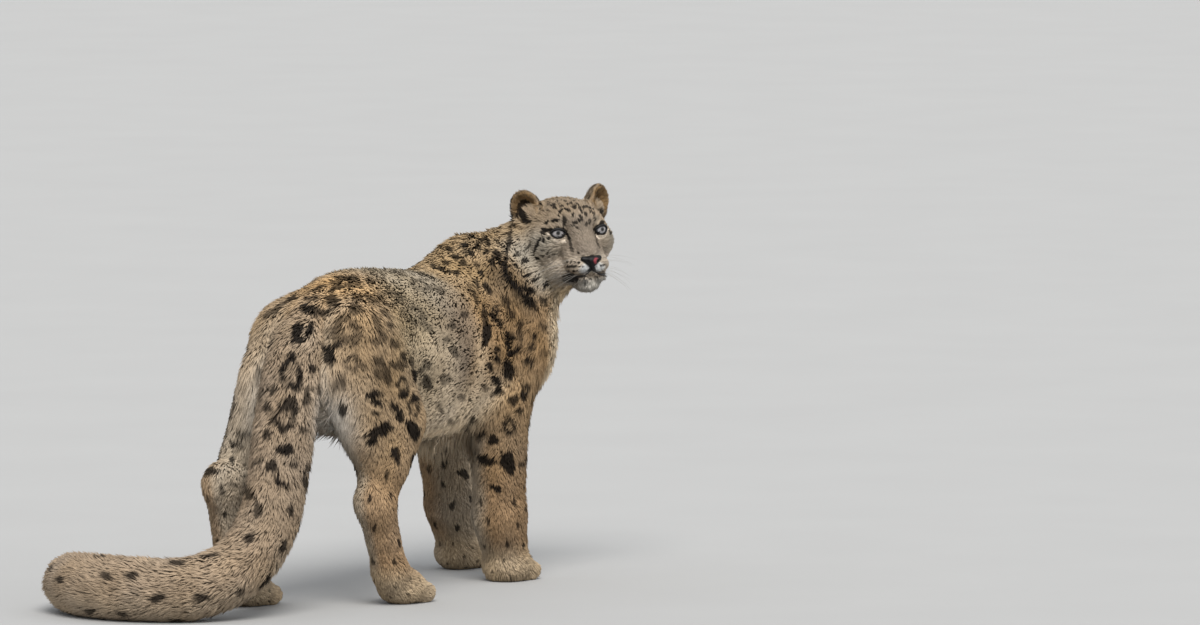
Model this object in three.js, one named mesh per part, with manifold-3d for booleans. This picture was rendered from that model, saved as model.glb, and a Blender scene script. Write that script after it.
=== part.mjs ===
// A life-size snow leopard that stands still and looks back over its right shoulder.
// Millimetres. +X runs from tail to chest, +Y to the animal's left, +Z up from the floor.
// The body is one smooth field, made of limbs and muscles that blend into each other.
// Each node is a stretch of that field, meshed at its own fineness and parted by thin cuts.

import * as THREE from "three";
import { mergeVertices } from "three/addons/utils/BufferGeometryUtils.js";
import Module from "manifold-3d";

const wasm = await Module();
wasm.setup();

// Driving dimensions

const gap = 0.3; // between touching nodes
const far = 2000; // larger than the whole animal

const backHeight = 570;
const withersHeight = 611;
const bellyHeight = 262;
const trunkHalfWidth = 136;
const chestSwing = -26; // how far the chest turns to the right

const hind = { hipSpread: 62, thigh: 90, knee: 58, hock: 35, ankle: 31 };
const fore = { shoulder: 70, elbow: 59, wrist: 46 };
const paw = { length: 46, width: 43, height: 30, toe: 19, sink: 3.5 };

// Joints of the legs, seen from the side as [x, z], with the distance from the midline.
const legs = {
  hind_right: {
    side: -1,
    out: 105,
    calf: 51,
    hip: [-66, 446],
    knee: [-4, 316],
    hock: [-70, 180],
    ankle: [-22, 58],
    toes: [18, 28],
  },
  hind_left: {
    side: 1,
    out: 104,
    calf: 45,
    hip: [-70, 440],
    knee: [-44, 284],
    hock: [-226, 214],
    ankle: [-192, 60],
    toes: [-146, 28],
  },
  fore_right: {
    side: -1,
    out: 86,
    shoulder: [450, 404],
    elbow: [374, 322],
    wrist: [380, 116],
    toes: [406, 28],
  },
  fore_left: {
    side: 1,
    out: 84,
    shoulder: [500, 404],
    elbow: [452, 320],
    wrist: [498, 118],
    toes: [526, 28],
  },
};

// Stations of the trunk from rump to chest.
const trunkStations = [
  { x: -148, y: 0, top: 476, bottom: 404, half: 38 },
  { x: -108, y: 0, top: 520, bottom: 372, half: 70 },
  { x: -56, y: 0, top: 553, bottom: 320, half: 102 },
  { x: 10, y: 0, top: backHeight, bottom: 292, half: 126 },
  { x: 100, y: 0, top: backHeight - 2, bottom: bellyHeight + 10, half: trunkHalfWidth - 8 },
  { x: 200, y: 0, top: backHeight - 12, bottom: bellyHeight, half: trunkHalfWidth - 2 },
  { x: 300, y: 0, top: backHeight - 20, bottom: bellyHeight, half: trunkHalfWidth },
  { x: 380, y: -4, top: backHeight - 12, bottom: bellyHeight + 4, half: trunkHalfWidth - 8 },
  { x: 450, y: -12, top: backHeight + 2, bottom: bellyHeight + 12, half: trunkHalfWidth - 22 },
  { x: 508, y: chestSwing, top: backHeight + 10, bottom: bellyHeight + 36, half: trunkHalfWidth - 38 },
  { x: 546, y: chestSwing - 10, top: backHeight - 56, bottom: bellyHeight + 80, half: trunkHalfWidth - 70 },
];

// The neck and tail follow points, each with the radius there.
const neckPoints = [
  { at: [300, 0, 504], radius: 50 },
  { at: [380, -3, withersHeight - 62], radius: 52 },
  { at: [430, -8, withersHeight - 72], radius: 68 },
  { at: [480, -22, 522], radius: 82 },
  { at: [534, -54, 546], radius: 82 },
  { at: [558, -92, 574], radius: 76 },
];
const tailPoints = [
  { at: [-100, 0, 476], radius: 52 },
  { at: [-160, -4, 428], radius: 55 },
  { at: [-206, -10, 340], radius: 55 },
  { at: [-242, -16, 240], radius: 54 },
  { at: [-278, -12, 150], radius: 55 },
  { at: [-332, 14, 84], radius: 56 },
  { at: [-398, 68, 55], radius: 56 },
  { at: [-434, 148, 54], radius: 56 },
  { at: [-430, 234, 54], radius: 56 },
  { at: [-390, 304, 52], radius: 53 },
  { at: [-338, 336, 48], radius: 44 },
];

// The head has its own frame: origin between the ears and jaws, +X to the nose, +Y left, +Z up.
const head = { at: [549.5, -121, 603.5], yaw: -128, pitch: -4.2, roll: 3 };
const eye = { at: [56, 37.5, 12], radius: 15.5, yaw: 16, pitch: 3 };
const lid = { thickness: 3.2, halfWidth: 12.6, above: 6.8, below: 8.4 };
const ear = { at: [-16, 66, 44], radii: [17, 27, 34], yaw: 36, tilt: 24, wall: 8 };
const nose = { at: [123, 0, -33], halfWidth: 19.5, gap: 0.45 };
const mouth = { groove: 2.2, corner: [88, 36, -65] };

// Locks of long fur. Where hang is 0 a lock follows the surface, and where it is 1 it leaves it.
const lockSizes = {
  ruff: { length: 40, width: 25, rise: 8, hang: 0 },
  throat: { length: 56, width: 44, rise: 8, hang: 0.15 },
  belly: { length: 60, width: 42, rise: 9, hang: 0.2 },
  groin: { length: 62, width: 34, rise: 4, hang: 1 },
  elbow: { length: 42, width: 28, rise: 8, hang: 0.1 },
};

// Numbers and vectors

const clamp = (value, low, high) => Math.min(high, Math.max(low, value));
const radians = THREE.MathUtils.degToRad;

// A smooth curve through samples, by cubic pieces with Catmull-Rom slopes.
function spline(places, values) {
  const slope = (i) => {
    const before = Math.max(0, i - 1);
    const after = Math.min(places.length - 1, i + 1);
    return (values[after] - values[before]) / (places[after] - places[before]);
  };
  const slopes = places.map((_, i) => slope(i));
  return (place) => {
    const held = clamp(place, places[0], places[places.length - 1]);
    let i = 0;
    while (i < places.length - 2 && held > places[i + 1]) i++;
    const span = places[i + 1] - places[i];
    const t = (held - places[i]) / span;
    const rise = values[i + 1] - values[i];
    const bend = t * (1 - t);
    const tilt = (1 - t) * (slopes[i] * span - rise) - t * (slopes[i + 1] * span - rise);
    return values[i] + t * rise + bend * tilt;
  };
}

// Fields: each is a function of x, y, z, below zero inside, and about the distance to the surface.

function ellipsoid(centre, radii, turn = new THREE.Euler()) {
  const back = new THREE.Matrix4().makeRotationFromEuler(turn).transpose().elements;
  const [a, b, c] = radii;
  return (x, y, z) => {
    const px = x - centre[0];
    const py = y - centre[1];
    const pz = z - centre[2];
    const qx = back[0] * px + back[4] * py + back[8] * pz;
    const qy = back[1] * px + back[5] * py + back[9] * pz;
    const qz = back[2] * px + back[6] * py + back[10] * pz;
    const near = Math.sqrt((qx / a) ** 2 + (qy / b) ** 2 + (qz / c) ** 2);
    const steep = Math.sqrt((qx / a ** 2) ** 2 + (qy / b ** 2) ** 2 + (qz / c ** 2) ** 2);
    return steep < 1e-9 ? -Math.min(a, b, c) : (near * (near - 1)) / steep;
  };
}

// A limb from one point to another, thinner from side to side where flat is above 1.
function limb(from, to, startRadius, endRadius, flat = 1) {
  const dx = to[0] - from[0];
  const dy = to[1] - from[1];
  const dz = to[2] - from[2];
  const lengthSquared = dx * dx + dy * dy + dz * dz;
  return (x, y, z) => {
    const px = x - from[0];
    const py = y - from[1];
    const pz = z - from[2];
    const t = clamp((px * dx + py * dy + pz * dz) / lengthSquared, 0, 1);
    const across = (py - t * dy) * flat;
    const away = Math.sqrt((px - t * dx) ** 2 + across ** 2 + (pz - t * dz) ** 2);
    return away - (startRadius + t * (endRadius - startRadius));
  };
}

function smoothMin(a, b, reach) {
  const h = Math.max(reach - Math.abs(a - b), 0) / reach;
  return Math.min(a, b) - (h * h * reach) / 4;
}

function blend(reach, ...fields) {
  return (x, y, z) => {
    let value = fields[0](x, y, z);
    for (let i = 1; i < fields.length; i++) value = smoothMin(value, fields[i](x, y, z), reach);
    return value;
  };
}

function carve(reach, solid, ...cutters) {
  return (x, y, z) => {
    let value = -solid(x, y, z);
    for (const cutter of cutters) value = smoothMin(value, cutter(x, y, z), reach);
    return -value;
  };
}

// Both halves of a shape that is stated for the left side only.
const mirrored = (field) => (x, y, z) => field(x, Math.abs(y), z);

// A round tube through points, with a radius that changes smoothly.
function tubeField(points, pieces) {
  const marks = points.map((_, i) => i);
  const along = [0, 1, 2].map((axis) => spline(marks, points.map((p) => p.at[axis])));
  const radius = spline(marks, points.map((p) => p.radius));
  const count = (points.length - 1) * pieces;
  const links = [];
  for (let i = 0; i < count; i++) {
    const start = i / pieces;
    const end = (i + 1) / pieces;
    links.push(limb(along.map((f) => f(start)), along.map((f) => f(end)), radius(start), radius(end)));
  }
  return (x, y, z) => Math.min(...links.map((link) => link(x, y, z)));
}

// The trunk

function trunkField(stations) {
  const xs = stations.map((s) => s.x);
  const sideways = spline(xs, stations.map((s) => s.y));
  const middle = spline(xs, stations.map((s) => (s.top + s.bottom) / 2));
  const halfHeight = spline(xs, stations.map((s) => (s.top - s.bottom) / 2));
  const halfWidth = spline(xs, stations.map((s) => s.half));
  const first = xs[0];
  const last = xs[xs.length - 1];
  const capDepth = 30;
  return (x, y, z) => {
    const held = clamp(x, first, last);
    const wide = halfWidth(held);
    const high = halfHeight(held);
    const px = x - held;
    const py = y - sideways(held);
    const pz = z - middle(held);
    const near = Math.sqrt((px / capDepth) ** 2 + (py / wide) ** 2 + (pz / high) ** 2);
    const steep = Math.sqrt((px / capDepth ** 2) ** 2 + (py / wide ** 2) ** 2 + (pz / high ** 2) ** 2);
    return steep < 1e-9 ? -Math.min(wide, high) : (near * (near - 1)) / steep;
  };
}

// The legs

// A foot seen from above: a broad pad and four toes that fan forwards.
function pawField([x], y) {
  const toeRows = [
    { ahead: 25, out: 30 },
    { ahead: 41, out: 11 },
    { ahead: 41, out: -11 },
    { ahead: 25, out: -30 },
  ];
  const toes = toeRows.map(({ ahead, out }) => {
    const fan = new THREE.Euler(0, 0, radians(out * 0.5));
    return ellipsoid([x + ahead, y + out, paw.toe - paw.sink / 2], [25, 12.5, paw.toe], fan);
  });
  const pad = ellipsoid([x, y, paw.height - paw.sink], [paw.length, paw.width, paw.height]);
  return blend(7, pad, ...toes);
}

function hindLeg({ side, out, calf, hip, knee, hock, ankle, toes }) {
  const inner = side * hind.hipSpread;
  const outer = side * out;
  const at = ([x, z], y) => [x, y, z];
  const seat = at([hip[0] - 62, hip[1] - 44], inner * 1.2);
  const calfTop = at([0.4 * knee[0] + 0.6 * hock[0] - 6, 0.4 * knee[1] + 0.6 * hock[1] + 22], outer);
  const thigh = limb(at(hip, inner), at(knee, outer), hind.thigh, hind.knee, 1.3);
  const ham = limb(seat, calfTop, 54, calf, 1.2);
  const shin = limb(at(knee, outer), at(hock, outer), hind.knee - 6, hind.hock, 1.2);
  const heel = ellipsoid([hock[0] - 12, outer, hock[1] + 8], [26, 23, 30]);
  const shank = limb(at(hock, outer), at(ankle, outer), hind.hock - 1, hind.ankle, 1.08);
  const foot = limb(at(ankle, outer), [toes[0], outer, toes[1] + 4], hind.ankle, 30);
  const lower = blend(16, shank, foot, pawField(toes, outer));
  return blend(30, thigh, ham, blend(22, shin, heel, lower));
}

function foreLeg({ side, out, shoulder, elbow, wrist, toes }) {
  const outer = side * out;
  const at = ([x, z], y) => [x, y, z];
  const tilt = new THREE.Euler(0, radians(-20), 0);
  const blade = ellipsoid([shoulder[0] - 26, side * 70, shoulder[1] + 62], [64, 44, 104], tilt);
  const upperArm = limb(at(shoulder, outer - side * 6), at(elbow, outer), fore.shoulder, fore.elbow, 1.25);
  const forearm = limb(at(elbow, outer), at(wrist, outer), fore.elbow, fore.wrist, 1.12);
  const pastern = limb(at(wrist, outer), [toes[0], outer, toes[1] + 6], fore.wrist, 36);
  const lower = blend(14, pastern, pawField(toes, outer));
  return blend(30, blade, upperArm, blend(18, forearm, lower));
}

// The head

const headTurn = new THREE.Euler(radians(head.roll), radians(-head.pitch), radians(head.yaw), "ZYX");
const headMatrix = new THREE.Matrix4().makeRotationFromEuler(headTurn).setPosition(...head.at);

function headPoint(x, y, z) {
  return new THREE.Vector3(x, y, z).applyMatrix4(headMatrix).toArray();
}

function headWay(x, y, z) {
  return new THREE.Vector3(x, y, z).transformDirection(headMatrix).toArray();
}

function inHeadFrame(field) {
  const m = headMatrix.elements;
  return (x, y, z) => {
    const px = x - m[12];
    const py = y - m[13];
    const pz = z - m[14];
    return field(
      m[0] * px + m[1] * py + m[2] * pz,
      m[4] * px + m[5] * py + m[6] * pz,
      m[8] * px + m[9] * py + m[10] * pz,
    );
  };
}

const earTurn = new THREE.Euler(radians(-ear.tilt), 0, radians(ear.yaw), "ZYX");
const earForward = new THREE.Vector3(1, 0, 0).applyEuler(earTurn);
const eyeTurn = new THREE.Euler(0, radians(-eye.pitch), radians(eye.yaw), "ZYX");
const eyeForward = new THREE.Vector3(1, 0, 0).applyEuler(eyeTurn);

function earField() {
  const shell = ellipsoid(ear.at, ear.radii, earTurn);
  const hollow = new THREE.Vector3(...ear.at).addScaledVector(earForward, ear.radii[0] * 0.8);
  const hollowRadii = [ear.radii[0] * 1.2, ear.radii[1] - ear.wall, ear.radii[2] - ear.wall];
  return carve(4, shell, ellipsoid(hollow.toArray(), hollowRadii, earTurn));
}

function skullField() {
  const cranium = ellipsoid([-8, 0, 14], [68, 62, 46]);
  const forehead = ellipsoid([32, 0, 24], [44, 43, 36]);
  const brow = ellipsoid([50, 28, 31], [18, 18, 11]);
  const cheekbone = ellipsoid([32, 45, -12], [40, 29, 34]);
  const ruff = ellipsoid([-12, 46, -34], [44, 30, 47]);
  const jaw = ellipsoid([34, 26, -56], [50, 30, 28]);
  const bridge = limb([56, 0, 16], [108, 0, -21], 23, 16);
  const underEye = limb([58, 17, 4], [86, 21, -27], 15, 15);
  const muzzle = ellipsoid([90, 0, -39], [34, 30, 27]);
  const whiskerPad = ellipsoid([102, 18, -41], [25, 20, 16]);
  const chin = ellipsoid([93, 0, -73], [27, 24, 18]);
  const lip = limb([92, 32, -66], [116, 12, -61], 7, 7);
  const skull = blend(18, cranium, forehead, brow, cheekbone, ruff, jaw);
  const lowerJaw = blend(8, chin, lip);
  const face = blend(7, blend(12, bridge, underEye, muzzle), whiskerPad, lowerJaw);
  return blend(20, skull, face);
}

function noseField() {
  const [x, , z] = nose.at;
  const middle = ellipsoid([x - 2, 0, z + 1.5], [10, 11, 8]);
  const wing = limb([x, 5, z + 1.5], [x - 3, nose.halfWidth - 4, z + 5], 6.5, 4);
  const tip = limb([x + 1, 0, z + 1], [x + 1, 0, z - 11.5], 8, 3.5);
  return mirrored(blend(4, middle, wing, tip));
}

function nostrilField() {
  const [x, , z] = nose.at;
  const nostril = ellipsoid([x + 8, nose.halfWidth - 9.5, z], [6, 3.2, 3.6]);
  const slit = limb([x + 7.5, nose.halfWidth - 9, z - 1.5], [x, nose.halfWidth - 1, z + 1.5], 2.2, 2);
  return mirrored(blend(2, nostril, slit));
}

function headField() {
  const hollow = new THREE.Vector3(...eye.at).addScaledVector(eyeForward, 16);
  const socket = ellipsoid(hollow.toArray(), [11, 18, 12]);
  const lidBall = ellipsoid(eye.at, [0, 1, 2].map(() => eye.radius + lid.thickness));
  const earRoot = ellipsoid([-18, 56, 34], [24, 24, 22]);
  const face = blend(8, carve(10, skullField(), socket), lidBall);
  return mirrored(blend(8, blend(12, face, earRoot), earField()));
}

// The whole animal. Each leg blends with the trunk but not with the other legs.

const trunk = trunkField(trunkStations);
const neck = tubeField(neckPoints, 3);
const tail = tubeField(tailPoints, 3);
const headInOwnFrame = headField();
const skull = inHeadFrame(headInOwnFrame);
const core = blend(46, trunk, neck);
const limbs = Object.keys(legs).map((name) => (name.startsWith("hind") ? hindLeg : foreLeg)(legs[name]));
const parts = [{ field: skull, reach: 26 }, ...limbs.map((field) => ({ field, reach: 34 }))];
const joined = (members) => (x, y, z) => {
  const middle = core(x, y, z);
  return Math.min(...members.map(({ field, reach }) => smoothMin(middle, field(x, y, z), reach)));
};
const tailless = joined(parts);
const body = joined([...parts, { field: tail, reach: 34 }]);

// Meshing

// Evenly spaced grid lines, with one more line past each end.
function gridLines(low, high, cell) {
  const count = Math.ceil((high - low) / cell);
  return Array.from({ length: count + 3 }, (_, i) => low + ((i - 1) * (high - low)) / count);
}

// Grid lines that are finest at one place and spread as they leave it, with one past each end.
function gradedLines(finestAt, finest, growth, low, high) {
  const outwards = (end) => {
    const lines = [];
    let step = finest;
    let at = finestAt;
    while ((end - at) * (end - finestAt) > 0) {
      at += Math.sign(end - finestAt) * step;
      step *= growth;
      lines.push(at);
    }
    return lines;
  };
  const below = outwards(low).reverse();
  const above = outwards(high);
  const lines = [...below, finestAt, ...above];
  return [lines[0] - finest, ...lines, lines[lines.length - 1] + finest];
}

// Meshes the zero surface of a field on a grid: one vertex in each cell that the surface
// crosses, moved onto the surface, and one quad round each grid edge that it crosses.
// The surface is closed off at the last line but one of each side.
function meshField(field, grid, place = new THREE.Matrix4()) {
  const [xs, ys, zs] = grid;
  const [nx, ny, nz] = grid.map((lines) => lines.length);
  const [lowX, lowY, lowZ] = grid.map((lines) => lines[1]);
  const [highX, highY, highZ] = grid.map((lines) => lines[lines.length - 2]);
  const closed = (x, y, z) =>
    Math.max(field(x, y, z), lowX - x, x - highX, lowY - y, y - highY, lowZ - z, z - highZ);
  const values = new Float64Array(nx * ny * nz);
  const at = (i, j, k) => (k * ny + j) * nx + i;
  for (let k = 0; k < nz; k++)
    for (let j = 0; j < ny; j++)
      for (let i = 0; i < nx; i++) values[at(i, j, k)] = closed(xs[i], ys[j], zs[k]);

  const vertices = [];
  const vertexOf = new Int32Array(nx * ny * nz).fill(-1);
  for (let k = 0; k < nz - 1; k++)
    for (let j = 0; j < ny - 1; j++)
      for (let i = 0; i < nx - 1; i++) {
        const point = crossingCentre(values, at, i, j, k);
        if (!point) continue;
        const cell = [xs[i + 1] - xs[i], ys[j + 1] - ys[j], zs[k + 1] - zs[k]];
        const near = [xs[i] + point[0] * cell[0], ys[j] + point[1] * cell[1], zs[k] + point[2] * cell[2]];
        vertexOf[at(i, j, k)] = vertices.length / 3;
        vertices.push(...ontoSurface(closed, near, Math.min(...cell) * 0.6));
      }

  const triangles = [];
  const apart = (m, n) =>
    [0, 1, 2].reduce((sum, axis) => sum + (vertices[m * 3 + axis] - vertices[n * 3 + axis]) ** 2, 0);
  const addQuad = (corners, flip) => {
    const [p, q, r, s] = (flip ? corners.reverse() : corners).map((v) => vertexOf[v]);
    if (apart(p, r) <= apart(q, s)) triangles.push(p, q, r, p, r, s);
    else triangles.push(p, q, s, q, r, s);
  };
  for (let k = 1; k < nz - 1; k++)
    for (let j = 1; j < ny - 1; j++)
      for (let i = 1; i < nx - 1; i++) {
        const inside = values[at(i, j, k)] < 0;
        if (inside !== values[at(i + 1, j, k)] < 0)
          addQuad([at(i, j - 1, k - 1), at(i, j, k - 1), at(i, j, k), at(i, j - 1, k)], !inside);
        if (inside !== values[at(i, j + 1, k)] < 0)
          addQuad([at(i - 1, j, k - 1), at(i - 1, j, k), at(i, j, k), at(i, j, k - 1)], !inside);
        if (inside !== values[at(i, j, k + 1)] < 0)
          addQuad([at(i - 1, j - 1, k), at(i, j - 1, k), at(i, j, k), at(i - 1, j, k)], !inside);
      }
  const positions = new THREE.BufferAttribute(new Float32Array(vertices), 3).applyMatrix4(place);
  return solidFrom(positions.array, new Uint32Array(triangles));
}

// The mean of the places where the surface crosses the edges of one cell, from 0 to 1 along each axis.
function crossingCentre(values, at, i, j, k) {
  const sum = [0, 0, 0];
  let count = 0;
  for (let axis = 0; axis < 3; axis++)
    for (let corner = 0; corner < 4; corner++) {
      const start = [0, 0, 0];
      start[(axis + 1) % 3] = corner & 1;
      start[(axis + 2) % 3] = corner >> 1;
      const end = [...start];
      end[axis] = 1;
      const a = values[at(i + start[0], j + start[1], k + start[2])];
      const b = values[at(i + end[0], j + end[1], k + end[2])];
      if (a < 0 === b < 0) continue;
      start[axis] = a / (a - b);
      for (let n = 0; n < 3; n++) sum[n] += start[n];
      count++;
    }
  return count ? sum.map((v) => v / count) : null;
}

// Moves a point down the field's slope onto the surface, by no more than the limit.
function ontoSurface(field, place, limit) {
  const step = 0.5;
  let [x, y, z] = place;
  for (let round = 0; round < 3; round++) {
    const value = field(x, y, z);
    const gx = (field(x + step, y, z) - field(x - step, y, z)) / (2 * step);
    const gy = (field(x, y + step, z) - field(x, y - step, z)) / (2 * step);
    const gz = (field(x, y, z + step) - field(x, y, z - step)) / (2 * step);
    const slope = gx * gx + gy * gy + gz * gz;
    if (slope < 0.05) break;
    x -= (value * gx) / slope;
    y -= (value * gy) / slope;
    z -= (value * gz) / slope;
  }
  return [x, y, z].map((v, i) => clamp(v, place[i] - limit, place[i] + limit));
}

// Solids

function solidFrom(vertProperties, triVerts) {
  return new wasm.Manifold(new wasm.Mesh({ numProp: 3, vertProperties, triVerts }));
}

// Leaves out faces that have shrunk to a line and pairs that lie back to back on the same corners.
function withoutFolds(faces) {
  const kept = new Map();
  for (const face of faces) {
    if (new Set(face).size < 3) continue;
    const corners = [...face].sort((a, b) => a - b).join();
    if (kept.has(corners)) kept.delete(corners);
    else kept.set(corners, face);
  }
  return [...kept.values()];
}

// Draws together the ends of every edge that more than two faces share, as where a cut only
// just grazes a surface.
function withoutPinches(faces) {
  let open = faces;
  for (let round = 0; round < 8; round++) {
    const uses = new Map();
    for (const face of open)
      face.forEach((a, i) => {
        const b = face[(i + 1) % 3];
        const edge = `${Math.min(a, b)},${Math.max(a, b)}`;
        uses.set(edge, (uses.get(edge) ?? 0) + 1);
      });
    const crowded = [...uses].filter(([, count]) => count > 2).map(([edge]) => edge.split(",").map(Number));
    if (!crowded.length) break;
    const joined = new Map(crowded.map(([a, b]) => [b, a]));
    open = withoutFolds(open.map((face) => face.map((corner) => joined.get(corner) ?? corner)));
  }
  return open;
}

// The corners and faces of a geometry, with corners that lie together merged.
function welded(geometry, together) {
  const bare = geometry.clone();
  bare.deleteAttribute("normal");
  bare.deleteAttribute("uv");
  const merged = mergeVertices(bare, together);
  const faces = [];
  for (let i = 0; i < merged.index.count; i += 3) faces.push([...merged.index.array.subarray(i, i + 3)]);
  const tidy = withoutPinches(withoutFolds(faces));
  const positions = new Float32Array(merged.attributes.position.array);
  return { positions, faces: new Uint32Array(tidy.flat()) };
}

function solidFromGeometry(geometry) {
  const { positions, faces } = welded(geometry, 1e-3);
  return solidFrom(positions, faces);
}

// Everything on one side of a plane: the side that the normal points to, pushed back by shift.
function halfSpace(point, normal, shift = 0) {
  const out = new THREE.Vector3(...normal).normalize();
  const box = new THREE.BoxGeometry(far, far, far);
  box.translate(0, 0, far / 2 + shift);
  box.applyQuaternion(new THREE.Quaternion().setFromUnitVectors(new THREE.Vector3(0, 0, 1), out));
  box.translate(...point);
  return solidFromGeometry(box);
}

// A wedge of space between planes, which one node fills and its neighbour leaves out.
function wedge(...planes) {
  const filled = (shift) =>
    planes.map(({ point, normal }) => halfSpace(point, normal, shift)).reduce((a, b) => a.intersect(b));
  return { inside: filled(gap / 2), outside: filled(-gap / 2) };
}

const sideOf = (name) => (name.endsWith("right") ? -1 : 1);
const legRoots = {
  hind_right: { hip: [-20, -80, 376], flank: [140, -80, 330], inner: 22 },
  hind_left: { hip: [-40, 80, 376], flank: [110, 80, 330], inner: 22 },
  fore_right: { hip: [410, -92, 350], flank: [300, -92, 322], inner: 40 },
  fore_left: { hip: [450, 92, 350], flank: [368, 92, 322], inner: 40 },
};
const wedges = {};
for (const name in legRoots) {
  const { hip, flank, inner } = legRoots[name];
  const side = sideOf(name);
  const flankWay = name.startsWith("hind") ? [-0.8, 0, -0.6] : [0.8, 0, -0.6];
  wedges[name] = wedge(
    { point: hip, normal: [0, side * 0.45, -0.9] },
    { point: flank, normal: flankWay },
    { point: [0, side * inner, 0], normal: [0, side, 0] },
  );
}
wedges.neck = wedge({ point: [474, -20, 540], normal: [0.78, -0.28, 0.56] });
wedges.head = wedge(
  { point: headPoint(-34, 0, -10), normal: headWay(1, 0, -0.1) },
  { point: headPoint(-34, 0, -88), normal: headWay(0.2, 0, 1) },
  { point: headPoint(0, -86, 0), normal: headWay(0, 1, 0) },
);
wedges.tail = wedge({ point: [-140, 0, 470], normal: [-0.72, 0, -0.68] });
for (const name of ["left", "right"]) {
  const side = sideOf(name);
  wedges[`ear_${name}`] = wedge(
    {
      point: headPoint(ear.at[0], side * (ear.at[1] - 7), ear.at[2] - 15),
      normal: headWay(0, side * 0.3, 0.95),
    },
    { point: headPoint(0, side * 40, 40), normal: headWay(0, side, 0.3) },
    { point: headPoint(-48, 0, 0), normal: headWay(1, 0, 0) },
    { point: headPoint(16, 0, 0), normal: headWay(-1, 0, 0) },
    { point: headPoint(0, side * 100, 0), normal: headWay(0, -side, 0) },
  );
}

// Long fur

// An uneven number from -1 to 1 for each whole number.
const wave = (n) => Math.sin(n * 12.9898) * 0.5 + Math.sin(n * 4.1414 + 1) * 0.5;

// A flat, tapered lock: it starts sunk in the coat, runs along it and ends in a tip that
// stands off by the rise.
function lock(field, from, way, { length, width, rise, hang }, n) {
  const steps = 4;
  const stride = (length * (1 + 0.15 * wave(n))) / steps;
  const heading = new THREE.Vector3(...way).normalize();
  heading.applyAxisAngle(new THREE.Vector3(0, 0, 1), 0.16 * wave(n + 7));
  const at = new THREE.Vector3(...ontoSurface(field, from, far));
  const rootOut = normalAt(field, at);
  const corners = [];
  const faces = [];
  for (let i = 0; i <= steps; i++) {
    const out = hang < 1 ? normalAt(field, at) : rootOut;
    const along = heading.clone().addScaledVector(out, (hang - 1) * heading.dot(out)).normalize();
    const across = out.clone().cross(along).normalize();
    const ridge = along.clone().cross(across);
    const height = -9 + (9 + rise) * Math.sin((i / steps) * Math.PI * 0.5);
    const half = (width / 2) * [0.85, 1, 0.92, 0.62, 0][i];
    const centre = at.clone().addScaledVector(out, height);
    const first = corners.length;
    if (i < steps) {
      corners.push(centre.clone().addScaledVector(across, half));
      corners.push(centre.clone().addScaledVector(across, -half));
      corners.push(centre.clone().addScaledVector(ridge, half * 0.4));
    } else corners.push(centre);
    if (i === 0) faces.push([0, 1, 2]);
    for (let side = 0; side < 3 && i > 0; side++) {
      const next = (side + 1) % 3;
      const [a, b] = [first - 3 + side, first - 3 + next];
      if (i < steps) faces.push([a, first + next, b], [a, first + side, first + next]);
      else faces.push([a, first, b]);
    }
    at.addScaledVector(along, stride);
    at.lerp(new THREE.Vector3(...ontoSurface(field, at.toArray(), far)), 1 - hang);
  }
  const positions = new Float32Array(corners.flatMap((corner) => corner.toArray()));
  return solidFrom(positions, new Uint32Array(faces.flat()));
}

function normalAt(field, { x, y, z }) {
  const step = 1;
  const gx = field(x + step, y, z) - field(x - step, y, z);
  const gy = field(x, y + step, z) - field(x, y - step, z);
  const gz = field(x, y, z + step) - field(x, y, z - step);
  return new THREE.Vector3(gx, gy, gz).normalize();
}

// Fuses a lock at each place with the node that it grows from.
function withLocks(solid, places, sizes, field = body) {
  return places.reduce((grown, { from, way }, n) => grown.add(lock(field, from, way, sizes, n)), solid);
}

const bothSides = [-1, 1];
function evenly(low, high, count) {
  return Array.from({ length: count }, (_, i) => low + ((high - low) * i) / (count - 1));
}

// Behind the cheeks and jaws, in rings round the side of the head. Angles go down from level.
function ruffPlaces(rings) {
  const places = [];
  for (const { x, angles, spread } of rings)
    for (const side of bothSides)
      for (const angle of angles.map(radians)) {
        const out = 40 + spread * Math.cos(angle);
        const up = -28 - spread * Math.sin(angle);
        places.push({ from: headPoint(x, side * out, up), way: headWay(-0.6, side * 0.3, -0.75) });
      }
  return places;
}

// Down the front of the throat and chest, in rows that are offset from each other.
function chestPlaces(rows, count) {
  return rows.flatMap(([x, z], row) =>
    evenly(-108, 18, count).map((y) => ({ from: [x, y + (row % 2) * 14, z], way: [-0.2, -0.05, -1] })),
  );
}

// Along the belly, on its two edges and down its middle.
function bellyPlaces() {
  const places = evenly(90, 450, 6).map((x) => ({ from: [x, -4, bellyHeight - 10], way: [-0.8, 0, -0.5] }));
  for (const side of bothSides)
    for (const x of evenly(150, 318, 5))
      places.push({ from: [x, side * 106, bellyHeight + 24], way: [-0.6, side * -0.2, -0.8] });
  return places;
}

// Hanging between the hind legs.
function groinPlaces() {
  const way = [-0.45, 0, -1];
  const pair = (x) => bothSides.map((side) => ({ from: [x + side * 8, side * 15, 280], way }));
  return [-10, 16, 42].flatMap(pair);
}

const nodes = {};

// Keeps the largest closed surface of a solid.
function largest(solid) {
  const bodies = solid.decompose();
  return bodies.reduce((best, one) => (one.volume() > best.volume() ? one : best));
}

function piece(field, low, high, cell, place) {
  const lines = [0, 1, 2].map((axis) => gridLines(low[axis], high[axis], cell[axis]));
  return meshField(field, lines, place);
}
const bodyPiece = (...box) => piece(body, ...box);

const aboveFloor = halfSpace([0, 0, 0], [0, 0, 1]);

// Torso, neck and head

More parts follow.
